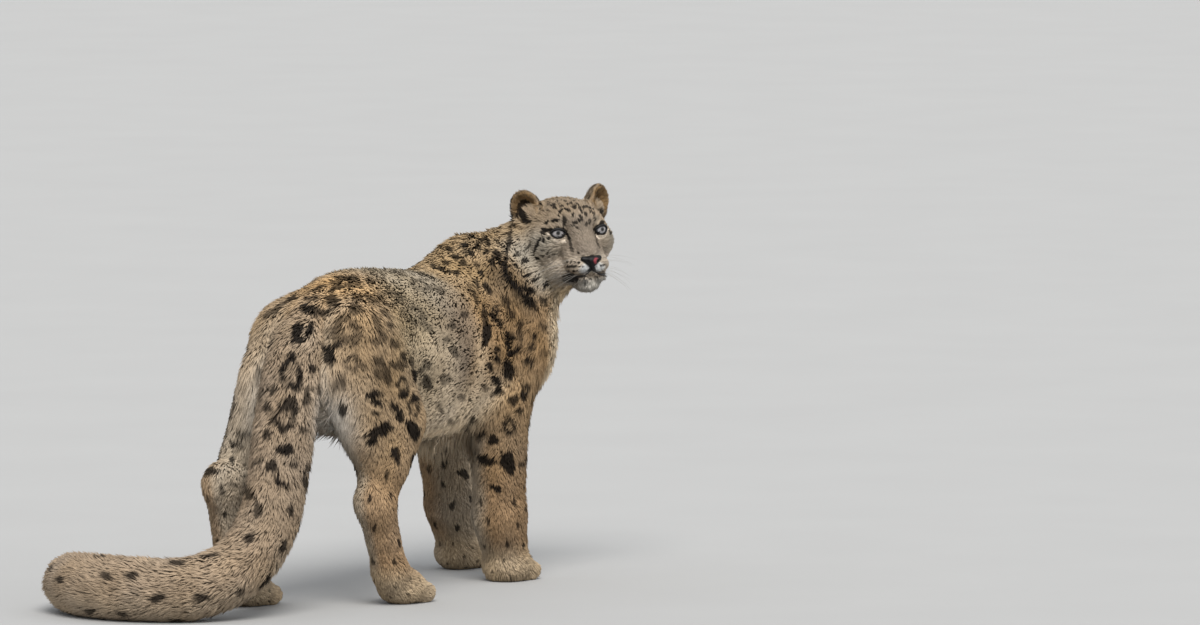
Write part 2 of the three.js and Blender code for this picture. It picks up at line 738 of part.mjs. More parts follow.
// The tail's root leaves the rump inside a sleeve a little wider than the tail.
function tailSleeve(scale) {
  const centre = [-160, -4, 420];
  const place = new THREE.Matrix4().makeTranslation(...centre).scale(new THREE.Vector3(scale, scale, scale));
  const widened = (x, y, z) => tail(x + centre[0], y + centre[1], z + centre[2]) - 8;
  return piece(widened, [-172, -101, -150], [110, 90, 150], [30, 28, 38], place);
}
const tailRoom = wedges.tail.outside.intersect(tailSleeve(1.01));

nodes.torso = bodyPiece([-230, -180, 230], [620, 180, 640], [50, 36, 36]).subtract(tailRoom);
nodes.torso = withLocks(nodes.torso, bellyPlaces(), lockSizes.belly);
nodes.torso = withLocks(nodes.torso, groinPlaces(), lockSizes.groin);
nodes.torso = withLocks(nodes.torso, chestPlaces([[600, 352], [590, 318]], 3), lockSizes.throat);
for (const name of ["hind_right", "hind_left", "fore_right", "fore_left", "neck"])
  nodes.torso = nodes.torso.subtract(wedges[name].outside);

const nape = bodyPiece([400, -250, 380], [700, 130, 720], [27, 27, 27]);
const throat = withLocks(nape, chestPlaces([[640, 492], [640, 458], [630, 424]], 4), lockSizes.throat);
const behindRuff = ruffPlaces([{ x: -46, angles: [10, 40, 68, 88], spread: 50 }]);
nodes.neck = withLocks(throat, behindRuff, lockSizes.ruff)
  .intersect(wedges.neck.inside)
  .subtract(wedges.head.outside)
  .subtract(wedges.ear_left.outside)
  .subtract(wedges.ear_right.outside);

// The head is meshed along its own axes, finest at the face.
const bodyFromHead = (x, y, z) => body(...headPoint(x, y, z));
const headLines = [
  gradedLines(104, 7.9, 1.13, -56, 134),
  gradedLines(0, 8.4, 1.12, -90, 90),
  gradedLines(-50, 8.5, 1.13, -102, 82),
];
const cheeks = [
  { x: 24, angles: [-22, 6, 34, 62], spread: 46 },
  { x: 2, angles: [-28, -2, 24, 50, 76], spread: 50 },
];
nodes.head = withLocks(meshField(bodyFromHead, headLines, headMatrix), ruffPlaces(cheeks), lockSizes.ruff)
  .intersect(wedges.neck.inside)
  .intersect(wedges.head.inside)
  .subtract(wedges.ear_left.outside)
  .subtract(wedges.ear_right.outside);

for (const name of ["left", "right"]) {
  const [x, y, z] = [ear.at[0], sideOf(name) * ear.at[1], ear.at[2]];
  const cell = 8;
  const lines = [
    gridLines(x - 34, x + 34, cell),
    gridLines(y - 38, y + 38, cell),
    gridLines(z - 30, z + 42, cell),
  ];
  nodes[`ear_${name}`] = meshField(bodyFromHead, lines, headMatrix).intersect(wedges[`ear_${name}`].inside);
}

// Eyes, lids, nose and mouth

// Moves a shape from beside the origin to the left or right eye, looking out along the eye.
function toEye(geometry, name) {
  const side = sideOf(name);
  const turn = new THREE.Euler(0, radians(-eye.pitch), radians(side * eye.yaw), "ZYX");
  geometry.applyQuaternion(new THREE.Quaternion().setFromEuler(turn));
  geometry.translate(eye.at[0], side * eye.at[1], eye.at[2]);
  return geometry.applyMatrix4(headMatrix);
}

// The opening between the lids: two arcs that meet in the corners, drawn out forwards.
function lidOpening() {
  const shape = new THREE.Shape();
  for (const [height, way] of [[lid.above, 1], [lid.below, -1]]) {
    const radius = (lid.halfWidth ** 2 + height ** 2) / (2 * height);
    const reach = Math.asin(lid.halfWidth / radius);
    const middle = (way * Math.PI) / 2;
    shape.absarc(0, way * (height - radius), radius, middle - reach, middle + reach);
  }
  const opening = new THREE.ExtrudeGeometry(shape, { depth: 60, bevelEnabled: false, curveSegments: 8 });
  opening.rotateX(Math.PI / 2);
  opening.rotateZ(Math.PI / 2);
  return opening;
}

// Half of the line of the mouth, with the short groove up to the nose.
function mouthLine(side) {
  const places = [
    [124, 0, -47],
    [126, 0, -50],
    [126, 3, -52],
    [122, 14, -57],
    [109, 28, -61],
    mouth.corner,
  ];
  const onLip = places.map((place) => ontoSurface(headInOwnFrame, place, 40));
  const points = onLip.map(([x, y, z]) => new THREE.Vector3(...headPoint(x, side * y, z)));
  const shape = new THREE.Shape();
  shape.absarc(0, 0, mouth.groove, 0, 2 * Math.PI);
  const extrudePath = new THREE.CatmullRomCurve3(points);
  return new THREE.ExtrudeGeometry(shape, { extrudePath, steps: 14, curveSegments: 3 });
}

const ball = (radius) => new THREE.IcosahedronGeometry(radius, 2);
for (const name of ["left", "right"]) {
  nodes.head = nodes.head
    .subtract(solidFromGeometry(toEye(lidOpening(), name)))
    .subtract(solidFromGeometry(toEye(ball(eye.radius + gap), name)));
  nodes[`eye_${name}`] = solidFromGeometry(toEye(ball(eye.radius), name));
  nodes.head = nodes.head.subtract(solidFromGeometry(mouthLine(sideOf(name))));
}

function nosePiece(field) {
  const [x, , z] = nose.at;
  const lines = [gridLines(x - 18, x + 20, 5), gridLines(-26, 26, 5), gridLines(z - 24, z + 20, 5)];
  return meshField(field, lines, headMatrix);
}
const nosePad = noseField();
nodes.nose = nosePiece(carve(2, nosePad, nostrilField()));
nodes.head = nodes.head.subtract(nosePiece((x, y, z) => nosePad(x, y, z) - nose.gap));

// Tail

const tailRuns = [
  {
    low: [-280, -90, 290],
    high: [-60, 90, 600],
    cell: [30, 28, 40],
    end: { point: [-212, -10, 328], normal: [-0.35, -0.05, -0.94] },
  },
  {
    low: [-340, -100, 150],
    high: [-140, 60, 400],
    cell: [30, 28, 40],
    end: { point: [-262, -15, 190], normal: [-0.4, 0, -0.92] },
  },
  {
    low: [-470, -100, -20],
    high: [-180, 140, 280],
    cell: [32, 32, 32],
    end: { point: [-372, 44, 66], normal: [-0.7, 0.7, 0] },
  },
  {
    low: [-520, -20, -20],
    high: [-300, 260, 130],
    cell: [34, 34, 27],
    end: { point: [-434, 176, 54], normal: [0, 1, 0] },
  },
  { low: [-520, 120, -20], high: [-240, 410, 130], cell: [34, 34, 27] },
];
let start = wedges.tail;
tailRuns.forEach(({ low, high, cell, end }, i) => {
  let run = piece(i ? tail : body, low, high, cell).intersect(start.inside).intersect(aboveFloor);
  if (!i) run = run.intersect(tailSleeve(1));
  if (end) {
    start = wedge(end);
    run = run.subtract(start.outside);
  }
  nodes[`tail_${i + 1}`] = run;
});

// Legs

// Behind the elbow in two rows, and on the edge of the chest before it.
function elbowPlaces([x, z], side) {
  const behind = [[84, 8], [110, 8], [74, 32], [100, 32]];
  return [
    ...behind.map(([out, down]) => ({ from: [x - 90, side * out, z - down], way: [-0.2, 0, -1] })),
    ...[54, 78].map((out) => ({ from: [x + 180, side * out, 348], way: [-0.1, 0, -1] })),
  ];
}

for (const name in legs) {
  const { side, out, calf, toes, ...joints } = legs[name];
  const [, middle, low] = Object.values(joints);
  const isHind = name.startsWith("hind");
  const next = isHind ? joints.ankle : toes;
  const between = (a, b, share) => [a[0] + share * (b[0] - a[0]), side * out, a[1] + share * (b[1] - a[1])];
  const way = (a, b) => [b[0] - a[0], 0, b[1] - a[1]];
  const kneeCut = wedge({ point: between(middle, low, isHind ? 0.24 : 0.36), normal: way(middle, low) });
  const hockCut = wedge({
    point: between(low, next, isHind ? 0.4 : -0.02),
    normal: isHind ? way(low, next) : way(middle, low),
  });
  const xs = [...Object.values(joints), toes].map(([x]) => x);
  const [edge] = legRoots[name].flank;
  const back = Math.min(...xs, isHind ? far : edge + 50) - 120;
  const front = Math.max(...xs, isHind ? edge - 40 : -far) + 120;
  const [right, left] = side < 0 ? [-200, 0] : [0, 200];
  const names = isHind ? ["thigh", "shin", "foot"] : ["arm", "forearm", "paw"];
  const upper = bodyPiece([back, right, 190], [front, left, 450], [30, 23, 30]);
  const behind = isHind ? [] : elbowPlaces(middle, side);
  nodes[`${name}_${names[0]}`] = withLocks(upper, behind, lockSizes.elbow)
    .intersect(wedges[name].inside)
    .subtract(kneeCut.outside)
    .subtract(tailRoom);
  nodes[`${name}_${names[1]}`] = piece(tailless, [back, right, 60], [front, left, 410], [26, 23, 36])
    .intersect(wedges[name].inside)
    .intersect(kneeCut.inside)
    .subtract(hockCut.outside)
    .subtract(tailRoom);
  const pawLines = [
    gridLines(back, front, 18),
    gridLines(right, left, 15.5),
    gradedLines(12, 12.5, 1.22, -6, 190),
  ];
  nodes[`${name}_${names[2]}`] = meshField(body, pawLines)
    .intersect(hockCut.inside)
    .intersect(aboveFloor);
}

// The scene, with its origin on the floor below the middle of the animal.

const colours = {
  ear: { color: 0xa8926f, roughness: 0.9 },
  eye: { color: 0x9fa78c, roughness: 0.15 },
  nose: { color: 0xa5716c, roughness: 0.5 },
  head: { color: 0xc2b7a6, roughness: 0.9 },
  neck: { color: 0xc4b69c, roughness: 0.9 },
  coat: { color: 0xb9a27b, roughness: 0.9 },
};

const leopard = new THREE.Group();
leopard.name = "snow_leopard";
for (const name in nodes) {
  const { vertProperties, triVerts } = largest(nodes[name]).getMesh();
  const cut = new THREE.BufferGeometry();
  cut.setAttribute("position", new THREE.BufferAttribute(vertProperties, 3));
  cut.setIndex(new THREE.BufferAttribute(triVerts, 1));
  const { positions, faces } = welded(cut, 0.02);
  const geometry = new THREE.BufferGeometry();
  geometry.setAttribute("position", new THREE.BufferAttribute(positions, 3));
  geometry.setIndex(new THREE.BufferAttribute(faces, 1));
  const colour = colours[name.split("_")[0]] ?? colours.coat;
  const mesh = new THREE.Mesh(geometry, new THREE.MeshStandardMaterial(colour));
  mesh.name = name;
  leopard.add(mesh);
}
const extent = new THREE.Box3().setFromObject(leopard);
const middle = extent.getCenter(new THREE.Vector3());
leopard.position.set(-middle.x, -middle.y, 0);

export default leopard;
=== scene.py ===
# A life-size snow leopard in its winter coat, looking back over its right shoulder.
# Shapes are worked out in millimetres on the animal's own axes (x to the chest, y to its left,
# z up) and moved into the frame, in metres, when a mesh is made.

import bpy
import numpy as np
import math
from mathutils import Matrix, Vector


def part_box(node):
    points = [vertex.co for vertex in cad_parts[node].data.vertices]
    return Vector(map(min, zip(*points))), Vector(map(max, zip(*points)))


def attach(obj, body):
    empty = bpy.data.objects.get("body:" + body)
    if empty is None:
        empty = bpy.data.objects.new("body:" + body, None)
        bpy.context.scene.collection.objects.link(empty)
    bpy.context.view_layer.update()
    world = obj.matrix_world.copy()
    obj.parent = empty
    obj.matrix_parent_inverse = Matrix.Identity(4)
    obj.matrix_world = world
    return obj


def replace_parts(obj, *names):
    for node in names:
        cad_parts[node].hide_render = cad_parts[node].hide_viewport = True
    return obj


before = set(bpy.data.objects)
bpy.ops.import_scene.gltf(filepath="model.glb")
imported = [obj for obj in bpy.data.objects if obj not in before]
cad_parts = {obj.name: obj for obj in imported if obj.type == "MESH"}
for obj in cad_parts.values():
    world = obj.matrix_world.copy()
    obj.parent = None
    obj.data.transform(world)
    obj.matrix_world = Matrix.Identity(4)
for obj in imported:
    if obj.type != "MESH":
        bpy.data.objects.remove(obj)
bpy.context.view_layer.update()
dice = np.random.default_rng(11)


# numbers

def unit(v):  # each row divided by its length
    return v / np.maximum(np.linalg.norm(v, axis=-1, keepdims=True), 1e-6)


def ramp(low, high, x):  # 0 below low, 1 above high, smooth between
    t = np.clip((x - low) / (high - low), 0, 1)
    return t * t * (3 - 2 * t)


def mix(a, b, share):  # a where the share is 0, b where it is 1
    return a + (b - a) * share


def turnX(degrees):
    c, s = math.cos(math.radians(degrees)), math.sin(math.radians(degrees))
    return np.array([[1, 0, 0], [0, c, -s], [0, s, c]])


def turnY(degrees):
    c, s = math.cos(math.radians(degrees)), math.sin(math.radians(degrees))
    return np.array([[c, 0, s], [0, 1, 0], [-s, 0, c]])


def turnZ(degrees):
    c, s = math.cos(math.radians(degrees)), math.sin(math.radians(degrees))
    return np.array([[c, -s, 0], [s, c, 0], [0, 0, 1]])


def spline(places, values):  # cubic pieces with Catmull-Rom slopes; values may be rows
    places, values = np.array(places, float), np.array(values, float)
    n = len(places)
    before, after = np.maximum(np.arange(n) - 1, 0), np.minimum(np.arange(n) + 1, n - 1)
    gaps = (places[after] - places[before]).reshape((n,) + (1,) * (values.ndim - 1))
    slopes = (values[after] - values[before]) / gaps

    def at(place):
        held = np.clip(place, places[0], places[-1])
        i = np.clip(np.searchsorted(places, held) - 1, 0, n - 2)
        span = places[i + 1] - places[i]
        t = (held - places[i]) / span
        if values.ndim > 1:
            t, span = np.asarray(t)[..., None], np.asarray(span)[..., None]
        rise = values[i + 1] - values[i]
        tilt = (1 - t) * (slopes[i] * span - rise) - t * (slopes[i + 1] * span - rise)
        return values[i] + t * rise + t * (1 - t) * tilt

    return at


def ripple(points, size, seed):  # a smooth random number from about -1 to 1, a sum of seven waves
    own = np.random.default_rng(seed)
    ways = unit(own.normal(size=(7, 3))) * own.uniform(0.7, 1.5, (7, 1)) * (2 * math.pi / size)
    return np.sin(points @ ways.T.astype(points.dtype) + own.uniform(0, 6.3, 7)).sum(1) / 3.2


# fields: below zero inside, and about the distance to the surface outside

def held(function, low, high):  # a field that carries the corners of the box round its shape
    function.low, function.high = np.array(low, float), np.array(high, float)
    return function


def ellipsoid(centre, radii, turn=None):  # the scaled radius less 1, over how steeply it changes
    centre, radii = np.array(centre, np.float32), np.array(radii, np.float32)
    turn = None if turn is None else turn.astype(np.float32)

    def field(p):
        q = p - centre if turn is None else (p - centre) @ turn
        q = q / radii
        near = np.sqrt((q * q).sum(1))
        steep = np.sqrt(((q / radii) ** 2).sum(1))
        return near * (near - 1) / np.maximum(steep, 1e-6)

    reach = np.full(3, radii.max()) if turn is not None else radii
    return held(field, centre - reach, centre + reach)


def limb(start, end, startRadius, endRadius, flat=1):  # the distance to a line less the radius there
    start, end = np.array(start, np.float32), np.array(end, np.float32)
    way = end - start

    def field(p):
        q = p - start
        t = np.clip(q @ way / (way @ way), 0, 1)
        away = q - t[:, None] * way
        away[:, 1] *= flat
        return np.sqrt((away * away).sum(1)) - (startRadius + t * (endRadius - startRadius))

    reach = max(startRadius, endRadius)
    return held(field, np.minimum(start, end) - reach, np.maximum(start, end) + reach)


def smoothMin(a, b, reach):  # the smaller of two, drawn down by h squared over 4 reaches where they're close
    h = np.maximum(reach - np.abs(a - b), 0)
    return np.minimum(a, b) - h * h / (4 * reach)


def blend(reach, *fields):  # shapes joined one after another with a soft crease
    def field(p):
        value = fields[0](p)
        for other in fields[1:]:
            value = smoothMin(value, other(p), reach)
        return value

    return held(field, np.min([f.low for f in fields], 0), np.max([f.high for f in fields], 0))


def carve(reach, solid, cutter):  # a shape less another, with a soft edge
    return held(lambda p: -smoothMin(-solid(p), cutter(p), reach), solid.low, solid.high)


def nearby(field, margin=40):  # far from the field's box, the distance to the box stands in
    def quick(p):
        away = np.maximum(np.maximum(field.low - p, p - field.high), 0)
        value = np.sqrt((away * away).sum(1)).astype(np.float32)
        close = value < margin
        if close.any():
            value[close] = field(p[close])
        return value

    return quick


def tube(points, pieces=3):  # a round tube along a spline through (x, y, z, radius)
    last = len(points) - 1
    rows = spline(np.arange(len(points)), points)(np.linspace(0, last, last * pieces + 1))
    links = [limb(a[:3], b[:3], a[3], b[3]) for a, b in zip(rows, rows[1:])]
    low, high = np.min([f.low for f in links], 0), np.max([f.high for f in links], 0)
    return held(lambda p: np.min([link(p) for link in links], 0), low, high), rows


def slopeOf(field, points, step=0.6):  # from four samples at the corners of a tetrahedron
    corners = np.array([[1, -1, -1], [-1, -1, 1], [-1, 1, -1], [1, 1, 1]], np.float32)
    total = np.zeros_like(points)
    for corner in corners:
        total += corner * field(points + corner * np.float32(step))[:, None]
    return total / (4 * step)


# the animal's form, the same as in the solids

bodySizes = {
    "back": 570, "belly": 262, "halfWidth": 136, "chestSwing": -26,
    "hind": {"hipSpread": 62, "thigh": 90, "knee": 58, "hock": 35, "ankle": 31},
    "fore": {"shoulder": 70, "elbow": 59, "wrist": 46},
}
legs = {
    "hind_right": {"side": -1, "out": 105, "calf": 51, "hip": (-66, 446), "knee": (-4, 316),
                   "hock": (-70, 180), "ankle": (-22, 58), "toes": (18, 28)},
    "hind_left": {"side": 1, "out": 104, "calf": 45, "hip": (-70, 440), "knee": (-44, 284),
                  "hock": (-226, 214), "ankle": (-192, 60), "toes": (-146, 28)},
    "fore_right": {"side": -1, "out": 86, "shoulder": (450, 404), "elbow": (374, 322),
                   "wrist": (380, 116), "toes": (406, 28)},
    "fore_left": {"side": 1, "out": 84, "shoulder": (500, 404), "elbow": (452, 320),
                  "wrist": (498, 118), "toes": (526, 28)},
}


def trunkField():  # ellipses on stations from the rump to the chest
    back, belly, half = bodySizes["back"], bodySizes["belly"], bodySizes["halfWidth"]
    swing = bodySizes["chestSwing"]
    stations = np.array([  # x, y, top, bottom, half width
        (-148, 0, 476, 404, 38), (-108, 0, 520, 372, 70), (-56, 0, 553, 320, 102), (10, 0, back, 292, 126),
        (100, 0, back - 2, belly + 10, half - 8), (200, 0, back - 12, belly, half - 2),
        (300, 0, back - 20, belly, half), (380, -4, back - 12, belly + 4, half - 8),
        (450, -12, back + 2, belly + 12, half - 22), (508, swing, back + 10, belly + 36, half - 38),
        (546, swing - 10, back - 56, belly + 80, half - 70)], float)
    rows = np.stack([stations[:, 1], stations[:, 4], (stations[:, 2] + stations[:, 3]) / 2,
                     (stations[:, 2] - stations[:, 3]) / 2], 1)
    along = spline(stations[:, 0], rows)

    def field(p):  # an ellipse at each x, closed by a cap 30 deep at both ends
        x = np.clip(p[:, 0], -148, 546)
        y, wide, middle, high = along(x).astype(np.float32).T
        q = np.stack([p[:, 0] - x, p[:, 1] - y, p[:, 2] - middle], 1)
        radii = np.stack([np.full_like(wide, 30), wide, high], 1)
        near = np.sqrt(((q / radii) ** 2).sum(1))
        steep = np.sqrt(((q / radii ** 2) ** 2).sum(1))
        value = near * (near - 1) / np.maximum(steep, 1e-6)
        return np.where(near < 0.05, -np.minimum(wide, high), value)

    return held(field, (-178, -150, 240), (576, 150, 600))


def pawField(toes, y):  # a broad pad with four toes
    x = toes[0]
    pad = ellipsoid((x, y, 26.5), (46, 43, 30))
    rows = [(25, 30), (41, 11), (41, -11), (25, -30)]
    return blend(7, pad, *[ellipsoid((x + a, y + o, 17.25), (25, 12.5, 19), turnZ(o * 0.5)) for a, o in rows])


def hindLeg(leg):  # limbs from joint to joint, blended wider at the top than at the foot
    sizes, side = bodySizes["hind"], leg["side"]
    inner, outer = side * sizes["hipSpread"], side * leg["out"]
    hip, knee, hock, ankle, toes = (leg[k] for k in ("hip", "knee", "hock", "ankle", "toes"))
    at = lambda place, y: (place[0], y, place[1])
    seat = (hip[0] - 62, inner * 1.2, hip[1] - 44)
    calf = (0.4 * knee[0] + 0.6 * hock[0] - 6, outer, 0.4 * knee[1] + 0.6 * hock[1] + 22)
    thigh = limb(at(hip, inner), at(knee, outer), sizes["thigh"], sizes["knee"], 1.3)
    ham = limb(seat, calf, 54, leg["calf"], 1.2)
    shin = limb(at(knee, outer), at(hock, outer), sizes["knee"] - 6, sizes["hock"], 1.2)
    heel = ellipsoid((hock[0] - 12, outer, hock[1] + 8), (26, 23, 30))
    shank = limb(at(hock, outer), at(ankle, outer), sizes["hock"] - 1, sizes["ankle"], 1.08)
    foot = limb(at(ankle, outer), (toes[0], outer, toes[1] + 4), sizes["ankle"], 30)
    return blend(30, thigh, ham, blend(22, shin, heel, blend(16, shank, foot, pawField(toes, outer))))


def foreLeg(leg):  # the same from the shoulder blade down
    sizes, side = bodySizes["fore"], leg["side"]
    outer = side * leg["out"]
    shoulder, elbow, wrist, toes = (leg[k] for k in ("shoulder", "elbow", "wrist", "toes"))
    at = lambda place, y: (place[0], y, place[1])
    blade = ellipsoid((shoulder[0] - 26, side * 70, shoulder[1] + 62), (64, 44, 104), turnY(-20))
    upper = limb(at(shoulder, outer - side * 6), at(elbow, outer), sizes["shoulder"], sizes["elbow"], 1.25)
    forearm = limb(at(elbow, outer), at(wrist, outer), sizes["elbow"], sizes["wrist"], 1.12)
    pastern = limb(at(wrist, outer), (toes[0], outer, toes[1] + 6), sizes["wrist"], 36)
    return blend(30, blade, upper, blend(18, forearm, blend(14, pastern, pawField(toes, outer))))


headPlace = {"at": (549.5, -121, 603.5), "yaw": -128, "pitch": -4.2, "roll": 3}
eyeSizes = {"at": (56, 37.5, 12), "radius": 15.5, "yaw": 16, "pitch": 3,
            "halfWidth": 12.6, "above": 6.8, "below": 8.4}
earSizes = {"at": (-16, 66, 44), "radii": (17, 27, 34), "yaw": 36, "tilt": 24}
noseAt = (123, 0, -33)
mouthPath = [(124, 0, -47), (126, 0, -50), (126, 3, -52), (122, 14, -57), (109, 28, -61), (88, 36, -65)]

headAt = np.array(headPlace["at"], float)
headTurn = turnZ(headPlace["yaw"]) @ turnY(-headPlace["pitch"]) @ turnX(headPlace["roll"])
eyeTurn = turnZ(eyeSizes["yaw"]) @ turnY(-eyeSizes["pitch"])
earTurn = turnZ(earSizes["yaw"]) @ turnX(-earSizes["tilt"])


def toHead(p):  # from the animal's axes to the head's own: x along the muzzle, z up
    return ((p - headAt) @ headTurn).astype(np.float32)


def fromHead(p):
    return np.asarray(p) @ headTurn.T + headAt


def leftOf(p):  # the same point on the animal's left half
    q = p.copy()
    q[:, 1] = np.abs(q[:, 1])
    return q


def noseField():
    x, _, z = noseAt
    pad = ellipsoid((x - 2, 0, z + 1.5), (10, 11, 8))
    wing = limb((x, 5, z + 1.5), (x - 3, 15.5, z + 5), 6.5, 4)
    return blend(4, pad, wing, limb((x + 1, 0, z + 1), (x + 1, 0, z - 11.5), 8, 3.5))


def earField():  # a shell hollowed from in front
    hollow = np.array(earSizes["at"]) + earTurn[:, 0] * 13.6
    shell = ellipsoid(earSizes["at"], earSizes["radii"], earTurn)
    return carve(4, shell, ellipsoid(hollow, (20.4, 19, 26), earTurn))


def headField():  # the left half: skull, cheeks, muzzle and jaw, then the eye's socket and lids, then the ear
    skull = blend(18, ellipsoid((-8, 0, 14), (68, 62, 46)), ellipsoid((32, 0, 24), (44, 43, 36)),
                  ellipsoid((50, 28, 31), (18, 18, 11)), ellipsoid((32, 45, -12), (40, 29, 34)),
                  ellipsoid((-12, 46, -34), (44, 30, 47)), ellipsoid((34, 26, -56), (50, 30, 28)))
    jaw = blend(8, ellipsoid((93, 0, -73), (27, 24, 18)), limb((92, 32, -66), (116, 12, -61), 7, 7))
    underEye = limb((58, 17, 4), (86, 21, -27), 15, 15)
    bridge = limb((56, 0, 16), (108, 0, -21), 23, 16)
    muzzle = blend(12, bridge, underEye, ellipsoid((90, 0, -39), (34, 30, 27)))
    face = blend(7, muzzle, ellipsoid((102, 18, -41), (25, 20, 16)), jaw)
    hollow = np.array(eyeSizes["at"]) + eyeTurn[:, 0] * 16
    socketed = carve(10, blend(20, skull, face), ellipsoid(hollow, (11, 18, 12)))
    lidded = blend(8, socketed, ellipsoid(eyeSizes["at"], (18.7, 18.7, 18.7)))
    return blend(8, blend(12, lidded, ellipsoid((-18, 56, 34), (24, 24, 22))), earField())


neckPoints = [(300, 0, 504, 50), (380, -3, 549, 52), (430, -8, 539, 68), (480, -22, 522, 82),
              (534, -54, 546, 82), (558, -92, 574, 76)]
tailPoints = [(-100, 0, 476, 52), (-160, -4, 428, 55), (-206, -10, 340, 55), (-242, -16, 240, 54),
              (-278, -12, 150, 55), (-332, 14, 84, 56), (-398, 68, 55, 56), (-434, 148, 54, 56),
              (-430, 234, 54, 56), (-390, 304, 52, 53), (-338, 336, 48, 44)]
trunk = trunkField()
neck, _ = tube(neckPoints)
tail, tailRows = tube(tailPoints)
ownHead, ownEar, ownNose = headField(), earField(), noseField()
headCorners = fromHead(np.array([(x, y, z) for x in (-80, 140) for y in (-96, 96) for z in (-104, 84)]))
head = held(lambda p: ownHead(leftOf(toHead(p))), headCorners.min(0), headCorners.max(0))
partNames = ["core", "head", "hind_right", "hind_left", "fore_right", "fore_left", "tail"]
partFields = [nearby(head)] + [nearby((hindLeg if "hind" in n else foreLeg)(legs[n])) for n in partNames[2:6]]
partFields.append(nearby(tail))
reaches = [26, 34, 34, 34, 34, 34]  # how softly each part joins the core
nearNeck = nearby(neck, 60)


def partValues(p):  # one row for each part: the core, then what joins it
    return np.stack([smoothMin(trunk(p), nearNeck(p), 46)] + [f(p) for f in partFields])


def joined(values):
    return np.min([smoothMin(values[0], value, reach) for value, reach in zip(values[1:], reaches)], 0)


def bodyField(p):
    return joined(partValues(p))


def shares(values):  # how much each part counts at a point, adding up to 1
    weights = np.exp(-(values - values.min(0)) / 9)
    return weights / weights.sum(0)


# The left eye's middle in the frame tells where the animal's own axes lie in it.
eyeShift = np.array(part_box("eye_left")[0]) / 2 + np.array(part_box("eye_left")[1]) / 2
shift = eyeShift * 1000 - fromHead(eyeSizes["at"])


# the coat: depth, spacing, length and width of the tufts, all in millimetres

coatSizes = {  # for the legs, by height
    "trunk": (9, 3.5, 19, 3.2),
    "neck": (9, 3.2, 19, 3.0),
    "belly": (12, 3.7, 38, 3.8),
    "tail": (11, 3.6, 22, 3.4),
    "legs": {0: (2.6, 2.8, 9, 2.4), 50: (3.2, 2.9, 10, 2.5), 150: (5, 3.1, 13, 2.8),
             300: (7, 3.3, 16, 3.0), 450: (9, 3.5, 19, 3.2)},
    "face": (2.6, 2.0, 9, 2.0),
    "bridge": (1.6, 1.8, 6, 1.7),
    "crown": (3.6, 2.1, 11, 2.1),
    "ruff": (6, 2.5, 15, 2.4),
    "ear": (1.8, 2.0, 11, 2.1),
}


def coatTraits(p, values):  # the four sizes at each point, mixed from part to part
    one = np.ones((len(p), 1))
    get = lambda name: np.array(coatSizes[name]) * one
    ph = toHead(p)
    up = p[:, 2:3]
    legRows = spline(list(coatSizes["legs"]), list(coatSizes["legs"].values()))(p[:, 2])
    atNeck = ramp(0, 1, (p[:, :1] - 420) / 90) * ramp(430, 500, up)
    low = ramp(320, 275, up) * ramp(40, 120, p[:, :1])
    core = mix(mix(get("trunk"), get("neck"), atNeck), get("belly"), low)
    side = np.abs(ph[:, 1:2])
    back = ramp(44, 4, ph[:, :1] + 0.25 * ph[:, 2:3])
    down = ramp(14, -26, ph[:, 2:3])
    crown = mix(get("face"), get("crown"), ramp(50, 0, ph[:, :1]))
    whole = mix(crown, get("ruff"), np.clip(back * (down + ramp(-20, -60, ph[:, :1])), 0, 1))
    whole = mix(whole, get("ruff"), ramp(30, -8, ph[:, :1]) * ramp(30, 60, side) * ramp(0, -20, ph[:, 2:3]))
    atBridge = ramp(70, 100, ph[:, :1]) * ramp(26, 10, side) * ramp(-40, -28, ph[:, 2:3])
    whole = mix(whole, get("bridge"), atBridge)
    whole = mix(whole, get("ear"), ramp(5, -1, ownEar(leftOf(ph))[:, None]))
    lip = ramp(1, 9, mouthGroove(leftOf(ph))[:, None])
    whole[:, 2:3] *= mix(0.45, 1, lip)
    rows = [core, whole] + [legRows] * 4 + [get("tail")]
    return np.einsum("in,ink->nk", shares(values), np.stack(rows))


def lidOpening(ph):  # two arcs that meet in the corners, seen along the eye
    q = (leftOf(ph) - np.array(eyeSizes["at"], np.float32)) @ eyeTurn.astype(np.float32)
    arcs = []
    for s, b in ((1, eyeSizes["above"]), (-1, eyeSizes["below"])):
        radius = (eyeSizes["halfWidth"] ** 2 + b * b) / (2 * b)
        arcs.append(np.hypot(q[:, 1], q[:, 2] + s * (radius - b)) - radius)
    return np.maximum(np.maximum(*arcs), 3 - q[:, 0])


def onSurface(field, points, rounds=6):  # points moved along the slope until the field is zero
    p = np.array(points, np.float32)
    for _ in range(rounds):
        g = slopeOf(field, p, 0.4)
        p -= g * (field(p) / np.maximum((g * g).sum(1), 0.05))[:, None]
    return p


lipPlaces = onSurface(ownHead, mouthPath)
lipPath = spline(np.arange(len(lipPlaces)), lipPlaces)(np.linspace(0, len(lipPlaces) - 1, 11))
mouthGroove = blend(0.5, *[limb(a, b, 1.5, 1.5) for a, b in zip(lipPath, lipPath[1:])])


def skinField(p):  # the body drawn in by the coat's depth, with the lids open and the lips parted
    values = partValues(p)
    value = joined(values) + coatTraits(p, values)[:, 0]
    ph = toHead(p)
    close = np.abs(ph - np.array((85, 0, -20), np.float32)).max(1) < 75
    if close.any():
        q = leftOf(ph[close])
        opened = -smoothMin(-value[close], lidOpening(q), 1.0)
        value[close] = -smoothMin(-opened, mouthGroove(q), 1.4)
    return value


# meshing a field

def gradedLines(low, high, coarse, *zones):  # planes of the grid; zones: (from, to, step)
    lines = [low]
    while lines[-1] < high:
        at = lines[-1]
        step = coarse
        for start, end, fine in zones:
            away = max(start - at, at - end, 0)
            step = min(step, fine + away * 0.12)
        lines.append(at + step)
    return np.array(lines, np.float32)


